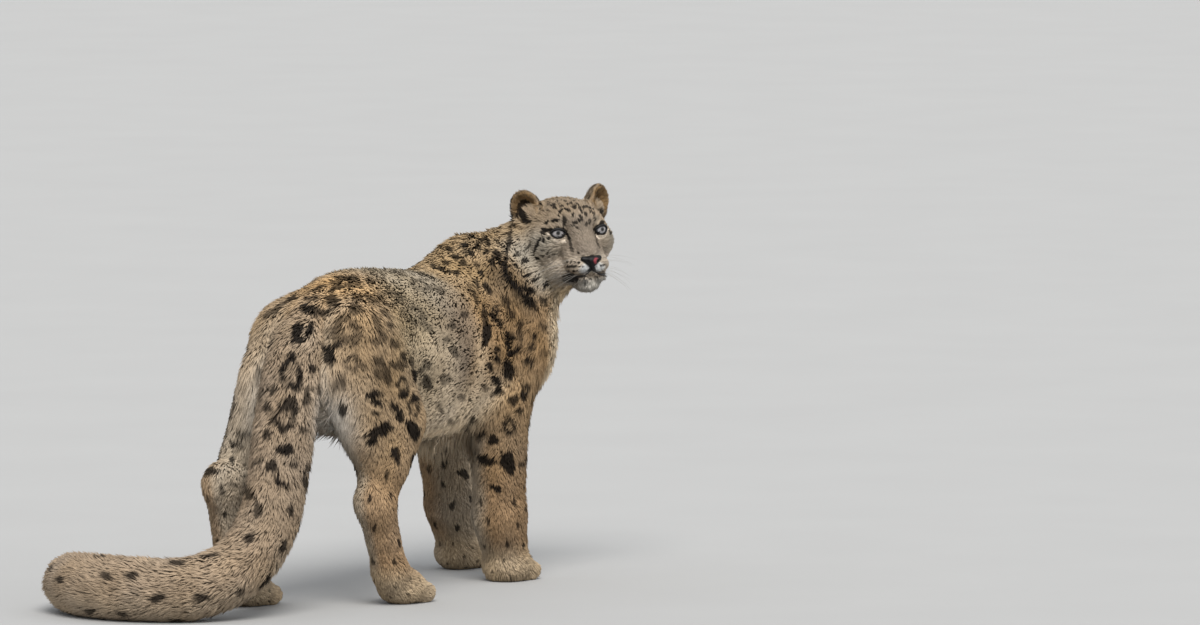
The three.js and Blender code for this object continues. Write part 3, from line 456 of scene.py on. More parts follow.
def sampled(field, lines, block=8):  # worked out only in blocks that the surface may cross
    count = [len(line) for line in lines]
    values = np.empty(count, np.float32)
    starts = [np.arange(0, n, block) for n in count]
    mids = [(line[s] + line[np.minimum(s + block, n - 1)]) / 2 for line, s, n in zip(lines, starts, count)]
    halves = [(line[np.minimum(s + block, n - 1)] - line[s]) / 2 for line, s, n in zip(lines, starts, count)]
    offsets = np.stack(np.meshgrid(*[np.arange(block)] * 3, indexing="ij"), -1).reshape(-1, 3)
    for i, x in enumerate(starts[0]):
        jj, kk = np.meshgrid(np.arange(len(starts[1])), np.arange(len(starts[2])), indexing="ij")
        jj, kk = jj.ravel(), kk.ravel()
        centres = np.stack([np.full(len(jj), mids[0][i]), mids[1][jj], mids[2][kk]], 1).astype(np.float32)
        far = np.sqrt(halves[0][i] ** 2 + halves[1][jj] ** 2 + halves[2][kk] ** 2)
        middle = field(centres)
        crossed = np.abs(middle) < far * 1.5 + 12
        for j, k, v in zip(jj[~crossed], kk[~crossed], middle[~crossed]):
            y, z = starts[1][j], starts[2][k]
            values[x:x + block, y:y + block, z:z + block] = v
        if not crossed.any():
            continue
        corner = np.stack([np.full(crossed.sum(), x), starts[1][jj[crossed]], starts[2][kk[crossed]]], 1)
        index = (corner[:, None] + offsets[None]).reshape(-1, 3)
        index = index[(index < np.array(count)).all(1)]
        points = np.stack([line[n] for line, n in zip(lines, index.T)], 1)
        runs = np.array_split(points, 1 + len(points) // 200000)
        values[tuple(index.T)] = np.concatenate([field(run) for run in runs])
    return values


def surfaceNet(values, lines):  # a vertex in each crossed cell, a quad round each crossed edge
    inside = values < 0
    shape = values.shape
    strides = np.array([shape[1] * shape[2], shape[2], 1])
    flat = values.ravel()
    rings, places = [], []
    for axis in range(3):
        first, second = [slice(None)] * 3, [slice(None)] * 3
        first[axis], second[axis] = slice(0, -1), slice(1, None)
        cells = np.argwhere(inside[tuple(first)] != inside[tuple(second)])
        start = cells @ strides
        a, b = flat[start], flat[start + strides[axis]]
        place = np.stack([line[n] for line, n in zip(lines, cells.T)], 1).astype(float)
        size = lines[axis][cells[:, axis] + 1] - lines[axis][cells[:, axis]]
        place[:, axis] += a / (a - b) * size
        u, v = strides[(axis + 1) % 3], strides[(axis + 2) % 3]
        ring = np.stack([start - u - v, start - v, start, start - u], 1)
        rings.append(np.where((a < 0)[:, None], ring, ring[:, ::-1]))
        places.append(np.repeat(place, 4, 0))
    rings, places = np.concatenate(rings), np.concatenate(places)
    _, corner = np.unique(rings.ravel(), return_inverse=True)
    count = np.bincount(corner)
    points = np.stack([np.bincount(corner, weights=places[:, n]) / count for n in range(3)], 1)
    quads = corner.reshape(-1, 4)
    long = np.linalg.norm(points[quads[:, 0]] - points[quads[:, 2]], axis=1)
    short = np.linalg.norm(points[quads[:, 1]] - points[quads[:, 3]], axis=1) < long
    first = np.where(short[:, None], quads[:, [0, 1, 3]], quads[:, [0, 1, 2]])
    second = np.where(short[:, None], quads[:, [1, 2, 3]], quads[:, [0, 2, 3]])
    return points.astype(np.float32), np.concatenate([first, second])


def pulled(field, points, limit, rounds=3):  # moves the points down the slope onto the surface
    p = points.copy()
    for _ in range(rounds):
        g = slopeOf(field, p)
        p -= g * (field(p) / np.maximum((g * g).sum(1), 0.3))[:, None]
    return np.clip(p, points - limit, points + limit)


def normalsOf(points, triangles):  # the mean of the faces round each point, weighted by area
    a, b, c = (points[triangles[:, n]] for n in range(3))
    across = np.cross(b - a, c - a)
    corners, count = triangles.ravel(), len(points)
    total = [np.bincount(corners, weights=np.repeat(across[:, n], 3), minlength=count) for n in range(3)]
    return unit(np.stack(total, 1))


# A mesh from points on the animal's axes, or on the head's, with its colours, normals and map where given.
def newPiece(name, points, triangles, material, colours=None, normals=None, uv=None, inHead=False):
    place = fromHead(points) if inHead else points
    mesh = bpy.data.meshes.new(name)
    mesh.vertices.add(len(place))
    mesh.vertices.foreach_set("co", ((place + shift) / 1000).astype(np.float32).ravel())
    mesh.loops.add(triangles.size)
    mesh.loops.foreach_set("vertex_index", triangles.astype(np.int32).ravel())
    mesh.polygons.add(len(triangles))
    mesh.polygons.foreach_set("loop_start", np.arange(0, triangles.size, 3, dtype=np.int32))
    mesh.update(calc_edges=True)
    mesh.polygons.foreach_set("use_smooth", np.ones(len(triangles), bool))
    if colours is not None:
        rgba = np.concatenate([colours, np.ones((len(colours), 1))], 1)
        layer = mesh.color_attributes.new(name="coatColour", type="FLOAT_COLOR", domain="POINT")
        layer.data.foreach_set("color", rgba.astype(np.float32).ravel())
    if uv is not None:
        layer = mesh.uv_layers.new(name="OFBake")
        layer.data.foreach_set("uv", uv[triangles.ravel()].astype(np.float32).ravel())
    if normals is not None:
        mesh.normals_split_custom_set_from_vertices(normals.astype(np.float32).tolist())
    mesh.materials.append(material)
    piece = bpy.data.objects.new(name, mesh)
    bpy.context.scene.collection.objects.link(piece)
    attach(piece, "root")
    return piece


# camera

shot = {  # "middle" is where the height aimed at is seen, and "scale" is in millimetres for a pixel
    "azimuth": -60, "elevation": 5, "distance": 18000, "scale": 1.72, "middle": (344, 271),
    "aimHeight": 570, "width": 1200, "pictureMiddle": (600, 312.5), "sensor": 36,
}
shotTurn, shotDrop = math.radians(90 + shot["azimuth"]), math.radians(shot["elevation"])
turnRight = np.array([math.sin(shotTurn), -math.cos(shotTurn), 0])
lookWay = np.array([math.cos(shotTurn) * math.cos(shotDrop), math.sin(shotTurn) * math.cos(shotDrop),
                    -math.sin(shotDrop)])
lookUp = np.cross(turnRight, lookWay)
focal = shot["distance"] / shot["scale"]  # in pixels
middleAcross, middleDown = shot["pictureMiddle"]
aim = np.array([0, 0, shot["aimHeight"]]) + (middleAcross - shot["middle"][0]) * shot["scale"] * turnRight
aim = aim - (middleDown - shot["middle"][1]) * shot["scale"] * lookUp
eyePoint = aim - shot["distance"] * lookWay

camera = bpy.data.objects.new("camera", bpy.data.cameras.new("camera"))
camera.data.sensor_width = shot["sensor"]
camera.data.lens = focal / shot["width"] * shot["sensor"]
camera.data.clip_end = 200
camera.location = (eyePoint + shift) / 1000
camera.rotation_euler = (math.radians(90 - shot["elevation"]), 0, math.radians(shot["azimuth"]))
bpy.context.scene.collection.objects.link(camera)
bpy.context.scene.camera = camera


# markings, each at the place where the photograph's view meets the coat:
# across, down, length, width, angle, strength and, where it is hollow, 1

spots = {
    "rump": [
        (313, 281, 8, 4, 20, .9), (317, 287, 14, 4, 30, .8), (311, 297, 14, 3, -5, .85),
        (306, 308, 13, 8, -10, 1), (319, 312, 20, 7, -8, .85), (332, 300, 12, 10, -50, .85),
        (335, 281, 14, 3.5, 15, .7), (336, 287, 16, 4, 20, .8), (297, 285, 12, 4, 35, .6),
        (291, 297, 8, 4, 30, .8), (276, 308, 16, 4, 45, .6), (265, 315, 8, 4, 55, .6),
        (268, 345, 12, 4, 65, .8), (327, 356, 20, 8, -75, 1), (333, 346, 16, 3, 12, .95),
        (336, 337, 14, 5, 5, .4), (337, 325, 12, 6, 75, .6), (342, 383, 16, 6, -80, .65),
        (335, 388, 8, 4, -80, .5), (321, 389, 12, 3.5, 85, .6), (313, 369, 7, 6, -60, .95)],
    "tail": [
        (296, 331, 20, 9, 75, 1), (310, 329, 14, 5, 70, 1), (300, 340, 8, 5, 0, 1),
        (291, 373, 34, 21, 90, 1, 1), (285, 418, 26, 22, 70, .95, 1), (289, 402, 14, 6, 10, .9),
        (285, 450, 16, 9, 0, 1), (271, 467, 12, 9, 45, .9), (295, 466, 6, 5, 0, .8),
        (282, 484, 14, 5, -25, 1), (258, 378, 14, 7, 80, .5), (259, 396, 14, 4, 80, .5),
        (272, 391, 8, 5, 60, .85), (266, 408, 8, 6, -45, .85), (265, 434, 9, 6, 80, .8),
        (308, 398, 18, 5, 85, .7), (304, 431, 8, 6, 0, .7), (255, 463, 14, 3, 25, .7),
        (246, 492, 14, 8, -60, .7), (233, 486, 10, 4, 0, .4)],
    "leftHind": [
        (243, 436, 14, 5, 0, 1), (236, 446, 13, 4, -15, 1), (207, 471, 12, 7, 20, .9),
        (232, 459, 5, 3, -60, .9), (222, 491, 10, 3, -80, .7)],
    "flank": [
        (347, 277, 20, 5, -8, .75), (352, 284, 12, 4, 5, .55), (357, 297, 9, 6, -20, .6),
        (356, 309, 11, 9, 0, .6), (346, 331, 26, 24, 0, .5, 1), (355, 341, 9, 6, -60, .4),
        (371, 280, 8, 4, -50, .4), (373, 299, 14, 6, -35, .5), (390, 298, 22, 14, 0, .5, 1),
        (387, 313, 10, 5, -40, .4), (378, 322, 14, 5, -70, .5), (383, 336, 12, 5, -60, .5),
        (377, 343, 8, 5, 0, .4), (395, 344, 9, 5, -45, .6), (391, 326, 6, 6, 0, .5),
        (352, 364, 14, 12, 60, .6, 1), (362, 367, 10, 4, -15, .45), (381, 364, 11, 6, -50, .6),
        (379, 375, 9, 5, -60, .55), (388, 377, 15, 5, -85, .7), (404, 357, 7, 4, -80, .85),
        (400, 366, 12, 6, 0, .65), (413, 364, 10, 4, -70, .6), (416, 376, 10, 6, -70, .95),
        (427, 365, 8, 6, -70, .5), (422, 371, 5, 3, 0, .5), (427, 383, 12, 6, -70, .8),
        (446, 380, 9, 8, 0, .45), (454, 352, 10, 5, -60, .5), (447, 340, 6, 4, 0, .4),
        (452, 326, 6, 4, 0, .5), (465, 315, 6, 4, 0, .5), (462, 398, 5, 5, 0, .45),
        (450, 422, 8, 3, -60, .45), (440, 408, 10, 3, -60, .4), (420, 284, 20, 12, -10, .35, 1),
        (440, 290, 10, 6, -30, .35), (415, 315, 22, 15, -20, .3, 1), (427, 327, 10, 6, -50, .3)],
    "thigh": [
        (373, 396, 12, 5, 30, 1), (381, 395, 6, 3, 0, .8), (378, 404, 10, 5, -30, 1),
        (376, 414, 7, 3, -20, .9), (395, 408, 9, 5, -45, 1), (400, 417, 13, 5, -80, 1),
        (404, 386, 16, 9, -80, .9, 1), (404, 396, 8, 5, 0, 1), (416, 399, 8, 6, 0, 1),
        (415, 409, 16, 9, -75, .85, 1), (415, 432, 20, 9, -70, 1), (383, 431, 22, 11, 25, 1),
        (372, 443, 10, 7, 40, 1), (396, 455, 12, 7, -80, 1), (399, 463, 6, 3, -80, .9),
        (413, 462, 13, 9, 60, 1), (342, 411, 12, 5, -80, .95), (434, 455, 8, 5, -75, .9),
        (443, 452, 6, 4, 0, .9), (444, 466, 7, 6, 0, .9), (465, 475, 10, 6, -40, .9)],
    "shoulder": [
        (472, 235, 8, 4, -15, .95), (464, 244, 6, 5, 0, 1), (448, 248, 8, 3, -15, .9),
        (471, 251, 8, 4, -75, 1), (465, 252, 6, 2.5, -50, .6), (478, 246, 7, 4, -60, .95),
        (481, 240, 5, 3, -50, .8), (487, 240, 10, 3, -60, .9), (485, 235, 4, 3, 0, .8),
        (486, 250, 5, 3, -60, .9), (455, 256, 7, 3, -15, .9), (446, 262, 5, 3, 0, .8),
        (463, 262, 7, 5, -30, .8), (433, 265, 6, 3, -60, .9), (441, 268, 8, 3, -30, .95),
        (449, 271, 5, 3, -20, .9), (457, 272, 5, 4, 0, .95), (482, 272, 6, 3, -60, .95),
        (497, 253, 9, 8, 0, .95), (492, 262, 10, 4, -60, .9), (503, 264, 8, 4, -45, .8),
        (478, 264, 6, 3, -30, .6), (510, 280, 22, 5, -55, 1), (527, 303, 16, 5, -45, .95),
        (487, 287, 10, 5, -60, .9), (477, 283, 10, 4, -75, .8), (474, 295, 20, 3, -65, .7),
        (490, 293, 5, 4, 0, .85), (506, 303, 10, 5, -50, .85), (510, 315, 10, 4, -60, .9),
        (513, 315, 6, 3, -60, .9), (496, 309, 8, 4, -60, .9), (494, 317, 10, 4, -50, .95),
        (500, 323, 8, 3, -60, .95), (485, 315, 18, 5, -85, .8), (487, 335, 22, 7, 80, 1),
        (487, 326, 8, 4, 0, .8), (520, 325, 7, 4, -75, .85), (534, 307, 10, 5, -50, .9),
        (545, 302, 8, 4, -50, .9), (543, 328, 10, 6, -60, .6), (529, 290, 16, 5, -20, 1),
        (510, 337, 9, 5, -40, .95), (520, 336, 10, 4, -70, .8), (534, 337, 7, 4, -60, .95),
        (509, 346, 10, 4, -80, 1), (512, 354, 8, 5, 0, 1), (518, 350, 8, 4, -80, 1),
        (532, 348, 8, 6, -60, .9), (544, 354, 10, 6, 0, .45), (498, 350, 5, 5, 0, .9),
        (504, 266, 16, 4, -62, 1), (517, 290, 20, 5, -48, 1), (530, 300, 14, 4, -40, 1),
        (498, 360, 8, 4, -70, .95), (528, 362, 8, 6, -30, .95)],
    "foreleg": [
        (490, 367, 9, 4, -70, .95), (509, 371, 20, 9, -80, 1), (529, 364, 9, 7, -30, .9),
        (497, 382, 10, 6, -40, 1), (499, 392, 8, 6, -75, 1), (485, 388, 8, 4, -50, .5),
        (493, 396, 5, 4, 0, .6), (527, 388, 8, 5, -60, 1), (524, 397, 10, 4, -75, 1),
        (535, 396, 8, 5, -60, .9), (514, 401, 9, 8, 0, .9), (521, 412, 5, 5, 0, .8),
        (472, 419, 8, 4, -60, .9), (466, 426, 12, 4, 70, .9), (480, 436, 9, 5, 30, .95),
        (493, 441, 10, 8, 30, 1), (510, 427, 18, 10, -75, 1, 1), (484, 461, 20, 7, -20, 1),
        (509, 464, 22, 12, -75, 1), (527, 460, 8, 4, 80, .8), (523, 465, 6, 4, 0, .7),
        (495, 489, 12, 5, -30, 1)],
    "head": [
        (521.5, 214, 13, 6.5, -65, 1), (524, 221, 8, 3, 0, 1), (509.4, 204, 14, 2.2, 84, .8),
        (509, 215, 16, 4, 85, .9), (509, 232, 20, 4, 85, .85), (560, 211, 8, 2, 50, 1),
        (567, 209, 7, 2, -20, 1), (564, 220, 10, 4, 88, .9), (554, 220, 8, 3, 5, 1),
        (546, 222, 5, 3, 50, 1), (553, 204, 5, 3, 0, .9), (554, 207, 4, 3, 0, .9),
        (573, 214, 4, 2.5, 80, .9), (574, 206, 5, 3, 0, .9), (584, 206, 4, 3, 0, .9),
        (590, 207, 8, 2, -10, .9), (581, 217, 7, 2.5, -60, .9), (586, 213, 5, 2, -50, .9),
        (590, 220, 3, 2, 0, .8), (576, 222, 4, 3, 45, .9), (573, 222, 2.5, 2, 0, .8),
        (572, 225, 3, 2, 0, .8), (577, 227, 3, 2, 0, .8), (587, 222, 2.5, 2, 0, .8),
        (575, 196, 4, 2, 0, .8), (603, 222, 6, 4, 20, .9), (603, 213, 10, 3, 80, .9),
        (543, 229, 5, 4, 0, 1), (548.4, 229, 8, 2.6, 10, 1), (542, 232, 5, 4, 0, .9),
        (570, 244, 6, 2.6, -75, .8), (571, 249, 4, 2.4, 80, .6), (536, 245, 20, 2.3, 63, 1),
        (543, 240, 5, 3, 80, 1), (548, 238, 4, 3, 30, 1), (527, 246, 10, 2.5, 60, .7),
        (518, 254, 6, 4, -10, .8), (525, 260, 6, 4, 30, 1), (536, 258.5, 5, 3, 10, 1),
        (542, 256.5, 4, 2, 0, .9), (547, 253.5, 3, 2, 70, .9), (554, 255, 5, 2, 0, .6),
        (549, 257.5, 3, 2, 0, .6), (542, 250.5, 4, 2, 0, .5), (517, 264, 4, 3, 0, 1),
        (528, 275, 8, 3, 30, 1), (536, 280, 9, 3, 20, 1), (547, 287, 9, 4, 45, 1),
        (512, 275, 3, 2, 0, .7), (605, 231, 8, 3, -75, .9), (598, 242, 12, 1.5, -70, .6),
        (611, 232, 4, 3, 80, .9), (567, 262, 2.3, 1.8, 0, 1), (570.5, 262, 2.3, 1.8, 0, 1),
        (574.5, 262, 2.3, 1.8, 0, 1), (578.5, 262, 2.3, 1.8, 0, 1), (570, 267, 10, 1.9, 0, .95),
        (580, 267, 2, 1.5, 0, .8), (583, 267, 2, 1.5, 0, .8), (566, 271.5, 2.2, 1.6, 0, .9),
        (569, 271.5, 2.2, 1.6, 0, .9), (573, 271.5, 2.2, 1.6, 0, .9),
        (577, 271.5, 2.2, 1.6, 0, .9), (604, 265.5, 5, 1.6, 30, .8), (605, 272, 4, 2, 0, .7),
        (577.5, 252.5, 2.4, 2, 0, .8), (570, 278.6, 14, 8.4, -12, 1), (564.5, 278, 6, 4, 0, .8),
        (567.4, 235.6, 12, 2.6, -66, 1), (552.8, 204, 3, 2, -40, .8), (556.6, 201, 3, 2, 30, .8),
        (545, 199.5, 5, 2, -10, .7), (551, 198.6, 5, 2, -5, .8), (558, 197.8, 5, 1.8, 0, .8),
        (566, 197.4, 6, 1.8, 0, .8), (573.5, 196.8, 5, 2, 10, .9), (580, 198.5, 5, 2, 20, .8),
        (548, 203.5, 3, 2, 30, .7), (541, 203, 4, 2, 40, .6), (561, 205.7, 4, 2, 20, .8),
        (565, 200.5, 4, 2, 0, .8), (567.5, 203.5, 3, 2, -30, .8), (571, 202.6, 3, 2, 40, .8),
        (573.5, 200, 4, 2, 0, .8), (577, 203.4, 4, 2, -40, .9), (579.8, 207.2, 3, 2, -60, .9),
        (581.2, 210.3, 4, 2, -50, .9), (586.5, 205.5, 3, 2, 0, .8),
        (590.5, 210.3, 4, 2, -40, .8), (589.5, 222.7, 3, 2, 0, .8), (586.5, 224.5, 3, 2, 30, .7),
        (594, 213, 4, 2, -60, .8), (596, 218, 4, 2, -50, .8), (598, 209, 4, 2, -30, .8),
        (579.5, 219.5, 4, 2, -50, .9), (579, 280.5, 2, 1.5, 0, .6),
        (583.8, 279, 2.5, 1.6, 20, .8), (587.5, 277.5, 2.5, 1.5, 0, .7),
        (591, 279, 2.5, 1.6, -30, .8), (596, 278, 3, 1.6, -20, .8), (584.5, 284, 4, 2, 80, .5),
        (590, 284, 3, 1.4, 80, .4), (600, 277, 3, 1.6, 20, .6), (568.5, 274, 5, 2, -10, .9),
        (507, 255, 20, 4, 84, .9), (509, 244, 10, 4, 80, .9)],
}


markSizes = {  # how far a mark outgrows its core as read, and how far round the form it may reach
    "grow": 1.06, "add": 2.2, "headGrow": 1.05, "headAdd": 0.7, "flankGrow": 1.1,
    "least": 0.15, "headLeast": -0.35, "rayStart": 16700.0, "raySteps": 110,
}


def marksFromPhoto():  # a ray through each spot is followed down to the coat
    rows, regions = [], []
    for region, places in spots.items():
        rows += [tuple(place) + (0,) * (7 - len(place)) for place in places]
        regions += [region] * len(places)
    rows, regions = np.array(rows, float), np.array(regions)
    onFlank, atHead = regions == "flank", regions == "head"
    across, down = (rows[:, 0] - middleAcross) / focal, (rows[:, 1] - middleDown) / focal
    rays = lookWay + across[:, None] * turnRight - down[:, None] * lookUp
    way = np.full(len(rows), markSizes["rayStart"])
    best, bestAt = np.full(len(rows), 1e9), way.copy()
    for _ in range(markSizes["raySteps"]):
        value = bodyField((eyePoint + rays * way[:, None]).astype(np.float32))
        closer = value < best
        best, bestAt = np.where(closer, value, best), np.where(closer, way, bestAt)
        way += np.where(value > 0.3, np.maximum(value * 0.8, 0.4), 0)
    place = onSurface(bodyField, eyePoint + rays * bestAt[:, None], 4)
    out = unit(slopeOf(bodyField, place))
    along = unit(np.cross(out, np.where(np.abs(out[:, 2:]) > 0.9, [1.0, 0, 0], [0, 0, 1.0])))
    second = np.cross(out, along)
    seen = np.stack([np.stack([along @ turnRight, second @ turnRight], 1),
                     np.stack([along @ lookUp, second @ lookUp], 1)], 1)
    u, s, v = np.linalg.svd(seen)  # a spot seen at a slant is wider than it looks, up to a limit
    seen = u * np.maximum(s, 0.5)[:, None, :] @ v
    angle = np.radians(rows[:, 4])
    c, s = np.cos(angle), np.sin(angle)
    spin = np.stack([np.stack([c, s], 1), np.stack([-s, c], 1)], 1)
    size = (rows[:, 2:4] * markSizes["grow"] + markSizes["add"]) / 2 * shot["scale"]
    size[onFlank] *= markSizes["flankGrow"]
    small = (rows[:, 2:4] * markSizes["headGrow"] + markSizes["headAdd"]) / 2 * shot["scale"]
    size = np.where(atHead[:, None], small, size)
    flat = (spin @ seen) / size[:, :, None]
    maps = flat @ np.stack([along, second], 1)
    return {"place": place, "out": out, "map": maps, "hollow": rows[:, 6],
            "strength": rows[:, 5] ** np.where(onFlank, 0.5, 0.6), "reach": size.max(1) / 0.5 * 1.35,
            "least": np.where(atHead, markSizes["headLeast"], markSizes["least"])}


# the skin

skinSizes = {"coarse": 8, "head": 2.8, "face": 1.8}


def skinMesh():  # a net over the grid, finer at the head and finest at the face
    ends = [(-515, 665), (-256, 405), (-22, 706)]
    heads = [(400, 650), (-240, -25), (495, 690)]
    faces = [(428, 562), (-240, -121), (513, 643)]
    lines = [gradedLines(*end, skinSizes["coarse"], (*a, skinSizes["head"]), (*b, skinSizes["face"]))
             for end, a, b in zip(ends, heads, faces)]
    grounded = lambda p: np.maximum(skinField(p), 0.2 - p[:, 2])
    points, triangles = surfaceNet(sampled(grounded, lines), lines)
    points = pulled(grounded, points, 2.2)
    return points, triangles


skinPoints, skinTriangles = skinMesh()
skinNormals = normalsOf(skinPoints, skinTriangles)
print("skin:", len(skinTriangles), "triangles")


# colours of the coat, as they would look in even light, in sRGB from 0 to 255

paints = {
    "spine": (146, 134, 115), "rump": (180, 147, 104), "flank": (106, 93, 79), "flankTan": (144, 128, 101),
    "belly": (228, 205, 172), "shoulder": (141, 113, 78), "shoulderTop": (152, 128, 94),
    "leg": (150, 122, 90), "thigh": (148, 124, 93), "inner": (160, 144, 122), "pawTop": (163, 143, 115),
    "tail": (145, 126, 104), "tailUnder": (165, 146, 122), "cheek": (135, 127, 113),
    "jowl": (170, 156, 140), "forehead": (132, 116, 96), "bridge": (121, 109, 95),
    "muzzle": (160, 146, 128), "lip": (180, 180, 178), "chin": (138, 134, 126), "chest": (222, 200, 167),
    "ruff": (146, 139, 126), "throat": (184, 158, 118), "neckShadowAndStreaks": (84, 71, 54),
    "ham": (170, 157, 138), "groin": (248, 240, 228),
    "earBack": (62, 54, 44), "earInside": (106, 84, 56), "earHair": (152, 130, 98),
    "browPatch": (163, 150, 132), "lidCream": (214, 199, 180), "black": (7, 6, 6),
}


def linear(rgb):  # from sRGB to light, by the standard curve
    c = np.array(rgb, float) / 255
    return np.where(c < 0.04045, c / 12.92, ((c + 0.055) / 1.055) ** 2.4)


# Soft patches that differ from what is round them: place, reach in x, y and z, paint, strength.
patches = [
    ((-40, 0, 300), (90, 56, 60), "groin", 1.0),
    ((-142, -66, 335), (42, 34, 62), "groin", 0.9),
    ((-150, 70, 335), (42, 34, 62), "groin", 0.9),
    ((-118, 84, 372), (52, 46, 90), "ham", 0.85),
    ((-190, 104, 230), (60, 50, 130), "ham", 0.95),
    ((140, -130, 360), (26, 40, 80), "belly", 0.5),
    ((236, -140, 400), (22, 40, 60), "belly", 0.35),
    ((540, -60, 400), (50, 100, 100), "chest", 0.8),
    ((-60, -60, 540), (90, 90, 60), "rump", 0.4),
    ((60, -110, 480), (90, 60, 70), "flankTan", 0.5),
    ((80, -90, 545), (80, 60, 34), "flankTan", 0.5),
    ((75, -125, 425), (60, 60, 40), "belly", 0.26),
    ((455, -92, 572), (44, 44, 44), "ruff", 0.9),
    ((474, -120, 526), (34, 40, 34), "ruff", 0.85),
    ((222, -115, 480), (44, 60, 60), "shoulder", 0.35),
    # painted shadow on the right of the neck behind the turned head, together with its dark streaks
    ((375, -100, 532), (36, 60, 32), "neckShadowAndStreaks", 0.85),
    ((400, -115, 500), (30, 60, 28), "neckShadowAndStreaks", 0.6),
]


def legPath(name):  # the joints from the top down, and a point ahead of the toes
    leg = legs[name]
    hind, fore = ("hip", "knee", "hock", "ankle", "toes"), ("shoulder", "elbow", "wrist", "toes")
    keys = hind if "hind" in name else fore
    path = [(leg[k][0], leg["side"] * leg["out"], leg[k][1]) for k in keys]
    return np.array(path + [(path[-1][0] + 50, path[-1][1], path[-1][2] - 12)], float)


legPaths = {name: legPath(name) for name in legs}


